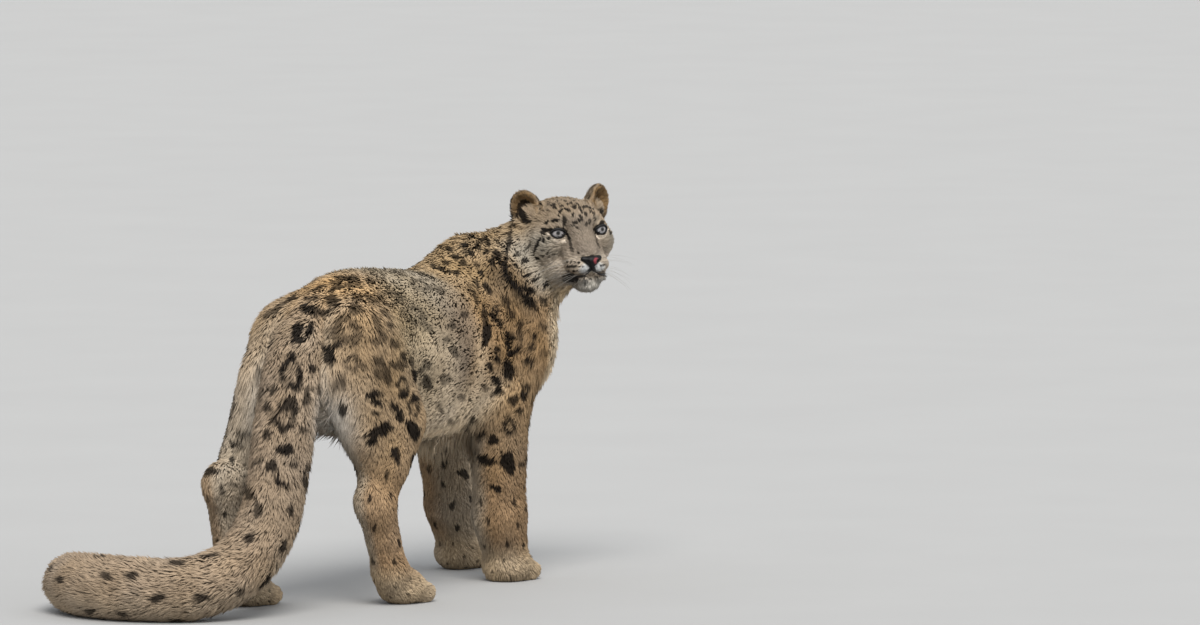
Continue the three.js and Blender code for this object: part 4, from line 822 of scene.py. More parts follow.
def basePaint(p, n, values):  # the coat's colour without its black marks
    rgb = {name: linear(value) for name, value in paints.items()}
    weights = shares(values)
    x, y, z = p[:, :1], p[:, 1:2], p[:, 2:3]
    high = np.clip((z - 262) / 308, 0, 1)
    side = mix(rgb["flank"], rgb["flankTan"], ramp(180, 20, x))
    side = mix(side, rgb["shoulder"], ramp(196, 262, x - 0.35 * (z - 430)))
    above = mix(mix(rgb["spine"], rgb["rump"], ramp(60, -60, x)), rgb["shoulderTop"], ramp(205, 262, x))
    core = mix(mix(rgb["belly"], side, ramp(0.08, 0.46, high)), above, ramp(0.66, 0.96, high))
    atFront = ramp(0.0, 0.45, n[:, :1]) * ramp(430, 490, x)
    core = mix(core, mix(rgb["chest"], rgb["throat"], ramp(480, 560, z)), atFront)
    below = ramp(0.1, -0.7, n[:, 2:3])
    core = mix(core, rgb["throat"], below * ramp(440, 500, z) * 0.8)

    ph = toHead(p)
    hx, hy, hz = ph[:, :1], np.abs(ph[:, 1:2]), ph[:, 2:3]
    face = mix(rgb["cheek"], rgb["forehead"], ramp(-4, 22, hz))
    face = mix(face, rgb["ruff"], ramp(36, 0, hx) * ramp(10, -20, hz))
    face = mix(face, rgb["jowl"], ramp(-16, -38, hz))
    face = mix(face, rgb["muzzle"], ramp(68, 92, hx) * ramp(-10, -28, hz))
    face = mix(face, rgb["chin"], ramp(-58, -72, hz) * ramp(20, 50, hx))
    face = mix(face, rgb["throat"], ramp(-60, -84, hz) * ramp(30, 10, hx) * 0.7)
    face = mix(face, rgb["bridge"], ramp(56, 80, hx) * ramp(-30, -16, hz))
    toLip = np.sqrt((hx - 121) ** 2 + (hy - 12) ** 2 + ((hz + 46) * 1.3) ** 2)
    face = mix(face, rgb["lip"], ramp(17, 8, toLip))
    q = leftOf(ph)
    gap, e = lidOpening(q)[:, None], (q - np.array(eyeSizes["at"], np.float32)) @ eyeTurn.astype(np.float32)
    wide = mix(8.7, 7.5, ramp(0, 12, e[:, 1:2]))
    band = ramp(2.2, 3.0, gap) * ramp(wide, wide - 2.0, gap) * ramp(2, -1, e[:, 2:3])
    band = band * ramp(-13, -9, e[:, 1:2]) * (e[:, :1] > 0)
    corner = ramp(7, 4, np.linalg.norm((e - np.array((13, -9, -14))) * [1, 1, 1.2], axis=1, keepdims=True))
    face = mix(face, rgb["lidCream"], np.maximum(band, corner) * 0.9)
    toBrow = np.sqrt((hx - 62) ** 2 + (hy - 30) ** 2 + (hz - 30) ** 2)
    face = mix(face, rgb["browPatch"], ramp(14, 6, toBrow) * 0.6)
    ear = ramp(4, -1, ownEar(leftOf(ph))[:, None])
    outward, earWay = unit(n @ headTurn), earTurn[:, 0]
    facing = outward[:, :1] * earWay[0] + np.sign(ph[:, 1:2]) * outward[:, 1:2] * earWay[1]
    facing = facing + outward[:, 2:3] * earWay[2]
    inEar = (q - np.array(earSizes["at"])) @ earTurn
    hair = ramp(17, 8, np.linalg.norm((inEar - np.array((8, -9, -20))) * [1, 1, 0.7], axis=1, keepdims=True))
    # painted shade: the inside of the ear is darker deeper in its hollow and lighter towards the rim
    inside = mix(rgb["earInside"] * 1.25, rgb["earInside"] * 0.8, ramp(3, -7, inEar[:, :1]))
    inside = mix(inside, rgb["earHair"], hair)
    face = mix(face, mix(rgb["earBack"], inside, ramp(-0.1, 0.3, facing)), ear)

    colour = weights[0][:, None] * core + weights[1][:, None] * face
    for row, (name, leg) in enumerate(legs.items()):
        outerSide = ramp(-0.5, 0.35, n[:, 1:2] * leg["side"])
        shade = mix(rgb["inner"], mix(rgb["leg"], rgb["thigh"], ramp(150, 330, z)), outerSide)
        if "fore" in name:
            shade = mix(shade, mix(rgb["inner"], rgb["shoulder"], outerSide), ramp(230, 380, z))
            # painted shade: the forelegs are darker low down, most between 90 and 220 mm high
            shade = shade * (1 - 0.16 * ramp(290, 220, z) * ramp(40, 90, z))
        shade = mix(shade, rgb["pawTop"], ramp(80, 30, z))
        # painted shade in the gaps between the toes
        over = np.abs(y - leg["side"] * leg["out"])
        gaps = np.minimum(over, np.abs(over - 21))
        shade = shade * (1 - 0.5 * ramp(4.5, 1, gaps) * ramp(28, 44, x - leg["toes"][0]) * ramp(46, 34, z))
        colour = colour + weights[row + 2][:, None] * shade
    colour = colour + weights[6][:, None] * mix(rgb["tail"], rgb["tailUnder"], ramp(0.1, -0.8, n[:, 2:3]))
    for place, reach, name, strength in patches:
        near = np.exp(-(((p - np.array(place)) / reach) ** 2).sum(1))[:, None]
        colour = mix(colour, rgb[name], strength * near)
    edge = ramp(-0.02, 0.3, n[:, :1]) * ramp(452, 492, x) * ramp(555, 505, z) * (1 - weights[1][:, None])
    colour = mix(colour, rgb["chest"], 0.7 * edge)
    grey = colour.mean(1, keepdims=True)
    drift = ripple(p, 90, 5)[:, None]
    return np.clip(mix(colour, grey, 0.08 + 0.06 * drift) * (1 + 0.06 * ripple(p, 47, 6)[:, None]), 0, 1)


# markings where the photograph doesn't reach, scattered by rule from a fixed seed

scatterRules = {  # spacing, spot length, width, strength, share of rosettes
    "flank": (74, 24, 13, 0.8, 0.85), "spine": (44, 28, 11, 0.9, 0.0), "belly": (66, 26, 17, 0.5, 0.1),
    "neck": (38, 16, 9, 0.9, 0.2), "chest": (44, 15, 10, 0.75, 0.0), "upperLeg": (50, 22, 14, 0.95, 0.35),
    "lowerLeg": (33, 15, 9, 0.95, 0.0), "paw": (22, 8, 6, 0.8, 0.0), "tail": (46, 28, 17, 0.95, 0.25),
    "crown": (12.5, 8, 3.4, 0.9, 0.0), "ruff": (26, 9, 5, 0.8, 0.0),
}


def ruleOf(p, n, part):  # which rule a place of the coat follows
    x, _, z = p
    if part == 0:
        if x > 500 and n[0] > 0.5:
            return "chest"
        if x > 440 and z > 470:
            return "neck"
        if z > 535:
            return "spine"
        return "belly" if n[2] < -0.6 else "flank"
    if part == 1:
        hx, hy, hz = toHead(np.array([p]))[0]
        if hx > 50 or ownEar(np.array([[hx, abs(hy), hz]], np.float32))[0] < 3:
            return None
        return "crown" if hz > 0 else "ruff"
    if part == 6:
        return "tail"
    return "paw" if z < 50 else "lowerLeg" if z < 230 else "upperLeg"


def inPhoto(p):  # across and down in the photograph, in its pixels
    away = p - eyePoint
    depth = away @ lookWay
    return middleAcross + away @ turnRight / depth * focal, middleDown - away @ lookUp / depth * focal


# Across and down in the photograph: the coat below this line is out of sight.
sightEdge = [(0, 560), (225, 509), (274, 485), (308, 463), (323, 448), (362, 453), (394, 463), (434, 471),
             (475, 482), (526, 495), (560, 497)]


def hiddenMarks(photo):  # places out of the photograph's sight, each kept clear of the marks before it
    own = np.random.default_rng(23)
    pick = own.permutation(len(skinPoints))[:14000]
    places, outs = skinPoints[pick], skinNormals[pick]
    values = partValues(places)
    part = shares(values).argmax(0)
    towards = unit(eyePoint - places)
    seen = (outs * towards).sum(1) > 0.16
    for far in (30, 60, 100, 150, 210, 280, 360):
        blocked = bodyField((places + outs * 18 + towards * far).astype(np.float32)) < -4
        seen &= ~blocked
    ph = toHead(places)
    seen &= ~((part == 1) & (ph[:, 2] > 40) & (ph[:, 0] < 30))
    across, down = inPhoto(places)
    seen &= down < np.interp(across, *np.array(sightEdge, float).T) - 2
    rows, kept, gaps = [], np.zeros((0, 3)), np.zeros(0)
    for i in np.flatnonzero(~seen):
        rule = ruleOf(places[i], outs[i], part[i])
        if rule is None:
            continue
        spacing = scatterRules[rule][0]
        if len(kept) and (np.linalg.norm(kept - places[i], axis=1) < (gaps + spacing) / 2).any():
            continue
        if (np.linalg.norm(photo["place"] - places[i], axis=1) < photo["reach"] * 0.5 + spacing * 0.42).any():
            continue
        kept, gaps = np.vstack([kept, places[i]]), np.append(gaps, spacing)
        rows.append((i, rule))
    marks = []
    for i, rule in rows:
        spacing, length, width, strength, hollow = scatterRules[rule]
        lie = layOf(places[i:i + 1], outs[i:i + 1], values[:, i:i + 1])[0]
        across = np.cross(outs[i], lie)
        if own.uniform() < hollow:  # a rosette: four or five blots round a duller middle
            count, turn, radius = own.integers(4, 6), own.uniform(0, 6.3), spacing * own.uniform(0.24, 0.31)
            for k in range(count):
                angle = turn + 2 * math.pi * (k + own.uniform(-0.2, 0.2)) / count
                way = math.cos(angle) * lie * 1.2 + math.sin(angle) * across
                ringWay = -math.sin(angle) * lie + math.cos(angle) * across
                size = length * own.uniform(0.75, 1.15), width * own.uniform(0.65, 1.0)
                black = strength * own.uniform(0.8, 1)
                marks.append((places[i] + way * radius, outs[i], ringWay, size, black, 0))
            marks.append((places[i], outs[i], lie, (spacing * 0.5, spacing * 0.42), 0.16, 0))
        else:
            tilt = own.uniform(-0.5, 0.5)
            way = math.cos(tilt) * lie + math.sin(tilt) * across
            size = length * own.uniform(0.75, 1.25), width * own.uniform(0.7, 1.2)
            marks.append((places[i], outs[i], way, size, strength * own.uniform(0.85, 1), 0))
    place, out, way = (np.array([m[k] for m in marks]) for k in range(3))
    size = np.array([m[3] for m in marks]) / 2
    maps = np.stack([way / size[:, :1], unit(np.cross(out, way)) / size[:, 1:]], 1)
    return {"place": place, "out": out, "map": maps, "strength": np.array([m[4] for m in marks]),
            "hollow": np.array([m[5] for m in marks], float), "reach": size.max(1) * 1.4,
            "least": np.full(len(marks), 0.15)}


def markShare(p, n, marks, jitter):  # how black the coat is at each point, 0 to 1
    black = np.zeros(len(p))
    order = np.argsort(p[:, 0])
    xs = p[order, 0]
    for k in range(len(marks["place"])):
        reach = marks["reach"][k] + 4
        first, last = np.searchsorted(xs, [marks["place"][k][0] - reach, marks["place"][k][0] + reach])
        index = order[first:last]
        away = p[index] - marks["place"][k]
        near = ((away * away).sum(1) < reach * reach) & (n[index] @ marks["out"][k] > marks["least"][k])
        index, away = index[near], away[near]
        if not len(index):
            continue
        u, v = (away @ marks["map"][k].T).T
        turn = np.arctan2(v, u)
        uneven = 1 + 0.10 * np.sin(3 * turn + k) + 0.07 * np.sin(5 * turn + 2.3 * k)
        rho = np.hypot(u, v) * uneven + jitter[index]
        soft = 0.10 + 0.35 * (1 - marks["strength"][k])
        share = ramp(1 + soft, 1 - soft, rho)
        if marks["hollow"][k]:
            gap = 1 - 0.5 * ramp(0.6, 0.95, np.sin(2 * turn + 1.7 * k))
            share = share * (0.2 + 0.8 * ramp(0.34, 0.56, rho) * gap)
        black[index] = np.maximum(black[index], share * marks["strength"][k])
    return black


def lidLiner(q):  # black skin and hair round the lids, broad above and drawn out at both corners
    e = (q - np.array(eyeSizes["at"], np.float32)) @ eyeTurn.astype(np.float32)
    near = lidOpening(q)
    wide = mix(1.8, 5.0, ramp(-4, 4, e[:, 2]))
    share = ramp(wide + 1.2, wide - 0.6, near)
    inner = limb((17, -9, -1), (15, -16, -7), 3.4, 2.2)(e)
    outer = limb((15, 9, 2), (8, 20, 6), 3.2, 1.8)(e)
    share = np.maximum(share, ramp(1.2, -0.6, np.minimum(inner, outer)))
    return share * (e[:, 0] > 0) * (np.abs(e).max(1) < 34)


def coatColour(p, n, values, jitter):  # the paint, black at the marks, lids, lips and nose's edge
    colour = basePaint(p, n, values)
    black = np.maximum(markShare(p, n, photoMarks, jitter), markShare(p, n, otherMarks, jitter))[:, None]
    ph = toHead(p)
    q = leftOf(ph)
    rim = lidLiner(q)[:, None]
    lips = ramp(3.0, 1.2, mouthGroove(q))[:, None] * (q[:, :1] > 60)
    toCorner = np.linalg.norm((q - np.array((87, 37, -65))) / (10, 10, 8), axis=1, keepdims=True)
    lips = np.maximum(lips, ramp(1.15, 0.8, toCorner))
    noseEdge = ramp(1.8, 0.8, ownNose(q))[:, None] * 0.9
    black = np.maximum(np.maximum(black, rim * 0.97), np.maximum(lips * 0.9, noseEdge))
    return mix(colour, linear(paints["black"]), black * 0.96)


# the lie of the coat

def alongPath(p, path, soften):  # the heading of the nearest stretches of a path
    starts, ends = path[:-1], path[1:]
    way = ends - starts
    t = np.clip(np.einsum("nik,ik->ni", p[:, None] - starts, way) / (way * way).sum(1), 0, 1)
    away = np.linalg.norm(p[:, None] - (starts + t[..., None] * way), axis=2)
    weight = np.exp(-(away - away.min(1, keepdims=True)) / soften)
    return unit((weight[..., None] * unit(way)).sum(1))


def layOf(p, n, values):  # the way the hair points, along the surface
    x, z = p[:, :1], p[:, 2:3]
    chest = ramp(490, 560, x) * ramp(0, 0.6, n[:, :1])
    rump = ramp(30, -110, x)
    flank = ramp(0.2, 0.9, np.abs(n[:, 1:2]))
    core = np.concatenate([-1 + 0.9 * chest, 0 * x, -(0.08 + 0.28 * flank + 0.7 * rump + 1.2 * chest)], 1)
    atNeck = ramp(430, 520, x) * ramp(430, 510, z)
    core = mix(core, np.array([-0.8, 0.22, -0.62]), atNeck * (1 - chest))
    ph = toHead(p)
    sign = np.sign(ph[:, 1:2])
    face = unit(ph - np.array([124, 0, -22]))
    ruff = ramp(40, 0, ph[:, :1]) * ramp(10, -30, ph[:, 2:3])
    down = np.concatenate([-0.45 + 0 * sign, 0.25 * sign, -0.8 + 0 * sign], 1)
    face = mix(face, down, ruff)
    onEar = ramp(6, 0, ownEar(leftOf(ph)))[:, None]
    root = np.concatenate([-20 + 0 * sign, 52 * sign, 24 + 0 * sign], 1)
    face = mix(face, unit(ph - root), onEar)
    rows = [unit(core), unit(face) @ headTurn.T]
    for name in legs:
        way = alongPath(p, legPaths[name], 12)
        if "hind" in name:
            way = mix(way, np.array([-0.4, 0, -1.0]), ramp(220, 400, z) * 0.8)
        rows.append(way)
    rows.append(alongPath(p, tailRows[:, :3], 15))
    way = np.einsum("in,ink->nk", shares(values), np.stack(rows))
    way = way - (way * n).sum(1, keepdims=True) * n
    return unit(way)


photoMarks = marksFromPhoto()
otherMarks = hiddenMarks(photoMarks)
print("markings:", len(photoMarks["place"]), "from the photograph,", len(otherMarks["place"]), "by rule")


# materials

def node(tree, kind, at, **values):  # one node, placed and set
    made = tree.nodes.new(kind)
    made.location = at
    for name, value in values.items():
        setattr(made, name, value)
    return made


def furToneGroup():  # uneven tone from hair to hair: fine and broad noise lighten and darken a colour
    group = bpy.data.node_groups.new("furTone", "ShaderNodeTree")
    face = group.interface
    face.new_socket("Colour", in_out="INPUT", socket_type="NodeSocketColor")
    face.new_socket("Amount", in_out="INPUT", socket_type="NodeSocketFloat").default_value = 0.2
    face.new_socket("Colour", in_out="OUTPUT", socket_type="NodeSocketColor")
    face.new_socket("Height", in_out="OUTPUT", socket_type="NodeSocketFloat")
    start, end = node(group, "NodeGroupInput", (-900, 0)), node(group, "NodeGroupOutput", (600, 0))
    place = node(group, "ShaderNodeTexCoord", (-900, -300))
    fine = node(group, "ShaderNodeTexNoise", (-600, -200))
    fine.inputs["Scale"].default_value = 420
    fine.inputs["Detail"].default_value = 3
    broad = node(group, "ShaderNodeTexNoise", (-600, -500))
    broad.inputs["Scale"].default_value = 38
    both = node(group, "ShaderNodeMath", (-380, -300), operation="ADD")
    spread = node(group, "ShaderNodeMapRange", (-180, -300))
    spread.inputs["From Min"].default_value = 0.7
    spread.inputs["From Max"].default_value = 1.3
    spread.inputs["To Min"].default_value = -1
    spread.inputs["To Max"].default_value = 1
    share = node(group, "ShaderNodeMath", (20, -200), operation="MULTIPLY_ADD")
    share.inputs[2].default_value = 1
    toned = node(group, "ShaderNodeVectorMath", (240, 0), operation="SCALE")
    link = group.links.new
    link(place.outputs["Object"], fine.inputs["Vector"])
    link(place.outputs["Object"], broad.inputs["Vector"])
    link(fine.outputs["Fac"], both.inputs[0])
    link(broad.outputs["Fac"], both.inputs[1])
    link(both.outputs[0], spread.inputs["Value"])
    link(spread.outputs[0], share.inputs[0])
    link(start.outputs["Amount"], share.inputs[1])
    link(start.outputs["Colour"], toned.inputs[0])
    link(share.outputs[0], toned.inputs["Scale"])
    link(toned.outputs["Vector"], end.inputs["Colour"])
    link(fine.outputs["Fac"], end.inputs["Height"])
    return group


furTone = furToneGroup()


def material(name, roughness, specular=0.3, **constants):  # sockets with two words take an underscore
    made = bpy.data.materials.new(name)
    made.use_nodes = True
    shader = made.node_tree.nodes["Principled BSDF"]
    shader.inputs["Roughness"].default_value = roughness
    shader.inputs["Specular IOR Level"].default_value = specular
    for socket, value in constants.items():
        shader.inputs[socket.replace("_", " ")].default_value = value
    return made, made.node_tree, shader


def furMaterial(name, amount, roughness, bump=0.0, **constants):  # the piece's coatColour with an uneven tone
    made, tree, shader = material(name, roughness, **constants)
    colour = node(tree, "ShaderNodeAttribute", (-700, 200), attribute_name="coatColour")
    tone = node(tree, "ShaderNodeGroup", (-450, 200), node_tree=furTone)
    tone.inputs["Amount"].default_value = amount
    tree.links.new(colour.outputs["Color"], tone.inputs["Colour"])
    tree.links.new(tone.outputs["Colour"], shader.inputs["Base Color"])
    if bump:
        raised = node(tree, "ShaderNodeBump", (-250, -200))
        raised.inputs["Strength"].default_value = bump
        raised.inputs["Distance"].default_value = 0.001
        tree.links.new(tone.outputs["Height"], raised.inputs["Height"])
        tree.links.new(raised.outputs["Normal"], shader.inputs["Normal"])
    return made


coatFur = furMaterial("coatFur", 0.16, 0.8, specular=0.1)
skinFur = furMaterial("skinFur", 0.25, 0.9, bump=0.6, specular=0.1)
lidSkin = furMaterial("lidSkin", 0.2, 0.5, bump=0.25, specular=0.25)
noseSkin = furMaterial("noseSkin", 0.22, 0.5, bump=0.5, specular=0.2)
whiskerHair = furMaterial("whiskerHair", 0.08, 0.4, specular=0.5)

skinValues = partValues(skinPoints)
skinColour = coatColour(skinPoints, skinNormals, skinValues, np.zeros(len(skinPoints)))
skinDepth = coatTraits(skinPoints, skinValues)[:, :1]
skinShade = mix(0.96, 0.88, ramp(2, 10, skinDepth))  # painted shade: the skin is darker where the coat over it is deep
skin = newPiece("skin", skinPoints, skinTriangles, skinFur, colours=skinColour * skinShade)
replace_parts(skin, "torso", "neck", "head", "ear_left", "ear_right", *[f"tail_{n}" for n in range(1, 6)],
            *[f"hind_{s}_{p}" for s in ("left", "right") for p in ("thigh", "shin", "foot")],
            *[f"fore_{s}_{p}" for s in ("left", "right") for p in ("arm", "forearm", "paw")])
print("skin painted")


# tufts

# the three tones in tuftSizes are painted shade and light along each tuft, from root to tip
tuftSizes = {
    "number": 143000, "finest": 1.9, "clump": 3.3, "pull": 0.22, "twist": 0.5,
    "sink": 1.2, "rootShade": 0.88, "middleShade": 0.99, "tipLight": 1.03, "roundness": 0.55, "strays": 0.16,
    "mostInPiece": 19500,
}


def tuftRoots():  # spread over the skin's faces by area and wanted spacing, one draw in each equal share
    a, b, c = (skinPoints[skinTriangles[:, n]] for n in range(3))
    area = np.linalg.norm(np.cross(b - a, c - a), axis=1) / 2
    middle = (a + b + c) / 3
    spacing = coatTraits(middle, partValues(middle))[:, 1]
    wanted = area / spacing ** 2
    q = leftOf(toHead(middle))
    bare = (lidOpening(q) < 1.2) & (np.abs(q - np.array(eyeSizes["at"], np.float32)).max(1) < 24)
    bare |= (mouthGroove(q) < 0.8) | (ownNose(q) < 0.6) | (middle[:, 2] < 1.5)
    wanted[bare] = 0
    total = np.cumsum(wanted)
    number = tuftSizes["number"]
    print("coat: spacing asks for", int(total[-1]), "tufts")
    draws = (np.arange(number) + dice.uniform(0, 1, number)) * total[-1] / number
    face = np.minimum(np.searchsorted(total, draws), len(total) - 1)
    s, t = dice.uniform(0, 1, (2, number))
    flip = s + t > 1
    s, t = np.where(flip, 1 - s, s)[:, None], np.where(flip, 1 - t, t)[:, None]
    root = a[face] + s * (b[face] - a[face]) + t * (c[face] - a[face])
    corners = skinTriangles[face]
    out = unit((1 - s - t) * skinNormals[corners[:, 0]] + s * skinNormals[corners[:, 1]]
               + t * skinNormals[corners[:, 2]])
    return root.astype(np.float32), out.astype(np.float32)


def hangOf(p, n, tailShare):  # where long hair leaves the form and hangs, and how much longer it is
    x, y, z = p.T
    down = ramp(-0.15, -0.7, n[:, 2])
    belly = down * ramp(60, 110, x) * ramp(470, 420, x) * ramp(330, 300, z)
    groin = ramp(-120, -80, x) * ramp(100, 60, x) * ramp(74, 48, np.abs(y)) * ramp(372, 335, z)
    breech = ramp(-70, -110, x) * ramp(0.1, -0.4, n[:, 0]) * ramp(450, 410, z) * ramp(250, 290, z)
    behind = np.clip(groin + breech * ramp(112, 84, np.abs(y)), 0, 1) * (1 - tailShare)
    chest = ramp(445, 500, x) * ramp(0.1, 0.5, n[:, 0] + 0.3 * down) * ramp(285, 320, z) * ramp(540, 480, z)
    ph = toHead(p)
    chin = ramp(-58, -70, ph[:, 2]) * ramp(52, 72, ph[:, 0]) * ramp(130, 120, ph[:, 0])
    longer = 1 + 0.25 * belly + 1.5 * behind + 0.9 * chest + 1.1 * chin
    return np.clip(belly + behind + 0.55 * chest + 0.35 * chin, 0, 1), longer


def toLevel(p, level, most):  # moves points along the slope until the body's field has the given value
    g = slopeOf(bodyField, p, 0.8)
    move = (level - bodyField(p)) / np.maximum((g * g).sum(1), 0.25)
    return p + g * np.clip(move, -most, most)[:, None]


root, out = tuftRoots()
values = partValues(root)
depth, spacing, length, width = coatTraits(root, values).T
hang, longer = hangOf(root, out, shares(values)[6])
way = layOf(root, out, values)
# The hair's way wanders in waves and from tuft to tuft, less where the coat is short.
calm = mix(1, 0.55, ramp(7, 3, depth))
turn = (0.30 * ripple(root, 70, 1) + 0.16 * ripple(root, 24, 2) + dice.normal(0, 0.13, len(root))) * calm
way = unit(way * np.cos(turn)[:, None] + np.cross(out, way) * np.sin(turn)[:, None])
ahead = 0.8 * ramp(430, 480, root[:, :1])
fall = unit(mix(way, np.concatenate([ahead - 0.4, 0 * ahead, 0 * ahead - 1.0], 1), 0.75 * hang[:, None]))
way = unit(mix(way, fall, hang[:, None]))
length = length * dice.uniform(0.72, 1.2, len(root)) * longer * (1 + 0.1 * ripple(root, 33, 3))
width = width * dice.uniform(0.75, 1.2, len(root))

# Tufts lean towards the middle of their clump: the ones in one cell of a grid that fits their spacing.
level = np.round(np.log2(spacing / tuftSizes["finest"]) * 2) / 2
cellSize = tuftSizes["clump"] * tuftSizes["finest"] * 2 ** level
cell = np.floor(root / cellSize[:, None] + level[:, None] * 3.3)
_, clump = np.unique(np.concatenate([cell, level[:, None]], 1), axis=0, return_inverse=True)
clump = clump.ravel()
members = np.bincount(clump)
centre = np.stack([np.bincount(clump, weights=root[:, n]) / members for n in range(3)], 1)[clump]
inward = (centre - root) * tuftSizes["pull"] * dice.uniform(0.5, 1.2, (len(root), 1))
inward -= (inward * out).sum(1, keepdims=True) * out
clumpHigh = np.random.default_rng(4).normal(0, 0.1, len(members))[clump]

# Each tuft's middle and tip are laid at a height over the form: low on the flank, high at the ears.
along = length[:, None] * way
middle = (root + 0.5 * along + 0.4 * inward).astype(np.float32)
tip = (root + along + inward).astype(np.float32)
onFlank = ramp(20, 100, root[:, 0]) * ramp(330, 260, root[:, 0]) * ramp(0.25, 0.55, np.abs(out[:, 1]))
rise = (dice.uniform(-0.3, 0.28, len(root)) + clumpHigh) * (1 - 0.7 * onFlank)
earShare = ramp(5, 1, ownEar(leftOf(toHead(root))))
atCrown = ramp(560, 600, root[:, 2]) * ramp(0.2, 0.6, out[:, 2])
strays = dice.uniform(0, 1, len(root)) < tuftSizes["strays"]
strayPlace = atCrown + ramp(0, 3, root[:, 2] - 470) * (1 - onFlank)
rise = rise + strays * dice.uniform(0.3, 0.9, len(root)) * strayPlace * 0.7
rise = rise + earShare * dice.uniform(0.0, 1.5, len(root))
middle = toLevel(middle, (0.28 * onFlank - 0.42) * depth + 0.4 * rise * depth + 2 * hang, 0.45 * length)
tip = toLevel(tip, rise * depth + 9 * hang * dice.uniform(0.2, 1, len(root)), 0.55 * length)
middle, tip = middle.astype(np.float32), tip.astype(np.float32)
for points in (middle, tip):
    points[:, 2] = np.maximum(points[:, 2], 0.9)
print("tufts laid:", len(root))

edge = dice.normal(0, 0.07, len(root))
shortTint = dice.normal(1, 0.15, (len(root), 1))
longTint = dice.normal(1, 0.06, (len(root), 1))
tint = mix(shortTint, longTint, ramp(2, 9, depth)[:, None])
patchy = 0.10 * ripple(root, 11, 9) * ramp(9, 3, depth) + 0.05 * ripple(root, 17, 12)
tint = tint * (1 + patchy[:, None])
looks = [mix(middle, tip, share).astype(np.float32) for share in (0.22, 0.85)]
colours = [coatColour(p, out, partValues(p), edge) * tint for p in looks]


# A tuft is two triangles of points, at its root and its middle, and a tip: seven points, ten faces.
def tuftMesh(pick, seed):
    sizes = tuftSizes
    own = np.random.default_rng(seed)
    r, m, t, n = root[pick], middle[pick], tip[pick], out[pick]
    half = width[pick, None] / 2
    firstWay, lastWay = unit(m - r), unit(t - m)
    twist = own.normal(0, sizes["twist"] * 0.5, len(pick))[:, None]
    points, normals = [], []
    smooth = 1 - 0.65 * onFlank[pick, None]
    twist = twist * smooth
    base = r - n * sizes["sink"]
    for centre, heading, size in ((base, firstWay, 0.75), (m, unit(firstWay + lastWay), 1.0)):
        left = unit(np.cross(n, heading))
        up = unit(np.cross(heading, left))
        left, up = left * np.cos(twist) + up * np.sin(twist), up * np.cos(twist) - left * np.sin(twist)
        points += [centre + left * half * size, centre - left * half * size, centre + up * half * size * 0.75]
        normals += [mix(n, left, sizes["roundness"] * smooth), mix(n, -left, sizes["roundness"] * smooth), n]
    points.append(t)
    normals.append(unit(n + 0.35 * lastWay))
    points = np.stack(points, 1).reshape(-1, 3)
    points[:, 2] = np.maximum(points[:, 2], 0.3)
    normals = unit(np.stack(normals, 1).reshape(-1, 3))
    # painted shade and light along each tuft: darker at the root, lighter at the tip, more so where the coat
    # is deep
    tones = np.array([sizes["rootShade"]] * 3 + [sizes["middleShade"]] * 3 + [sizes["tipLight"]])
    deep = ramp(1.5, 9, depth[pick])[:, None]
    tones = mix(1, mix(mix(1, tones, 0.35), tones, deep), smooth)
    first, last = colours[0][pick, None, :], colours[1][pick, None, :]
    shades = np.concatenate([np.repeat(first, 6, 1), last], 1)
    shades = np.clip(shades * tones[:, :, None], 0, 1).reshape(-1, 3)
    one = np.array([(0, 1, 2), (0, 3, 4), (0, 4, 1), (1, 4, 5), (1, 5, 2), (2, 5, 3), (2, 3, 0),
                    (3, 6, 4), (4, 6, 5), (5, 6, 3)])
    triangles = (np.arange(len(pick))[:, None, None] * 7 + one).reshape(-1, 3)
    return points, triangles, shades, normals


def unwrapped(p, group):  # the place of each root on the skin laid flat, by angles and lengths
    if group == "head":
        ph = toHead(p)
        ear = ramp(6, 0, ownEar(leftOf(ph))) > 0.5
        turn = np.arctan2(ph[:, 1], ph[:, 0] - 20) / math.pi
        rise = np.arctan2(ph[:, 2] + 15, np.hypot(ph[:, 0] - 20, ph[:, 1])) / 3.2
        q = (leftOf(ph) - np.array(earSizes["at"])) @ earTurn
        u = 1.15 + 0.1 * np.sign(ph[:, 1]) + 0.001 * q[:, 1] * np.sign(q[:, 0])
        return np.stack([np.where(ear, u + 0.35 * (q[:, 0] > 0), turn), np.where(ear, q[:, 2] / 60, rise)], 1)
    if group == "tail":
        path = tailRows[:, :3]
        away = np.linalg.norm(p[:, None] - path, axis=2)
        weight = np.exp(-away / 10)
        t = (weight @ np.arange(len(path))) / weight.sum(1)
        centre = spline(np.arange(len(path)), path)(t)
        heading = alongPath(p, path, 8)
        first = unit(np.cross(heading, [0.3, -0.8, 0.5]))
        offset = p - centre
        angle = np.arctan2((offset * np.cross(heading, first)).sum(1), (offset * first).sum(1))
        return np.stack([angle, t], 1)
    if group == "core":
        return np.stack([np.arctan2(p[:, 1], p[:, 2] - 420), p[:, 0] / 400], 1)
    path = legPaths[group]
    t = np.clip(p[:, 2], 0, 520)
    order = np.argsort(path[:-1, 2])
    cx = np.interp(t, path[:-1][order, 2], path[:-1][order, 0])
    return np.stack([np.arctan2(p[:, 1] - path[0, 1], p[:, 0] - cx), p[:, 2] / 150], 1)


def bakeMap(p, group):  # the places scaled to the map's square, with a small patch for each tuft
    flat = unwrapped(p, group)
    low, high = flat.min(0), flat.max(0)
    place = 0.01 + 0.975 * (flat - low) / np.maximum(high - low, 1e-6)
    patch = np.array([(0, 0), (1, 0), (0.5, 0), (0, 0.5), (1, 0.5), (0.5, 0.5), (0.5, 1)]) * 0.003
    return (place[:, None] + patch - 0.0015).reshape(-1, 2)


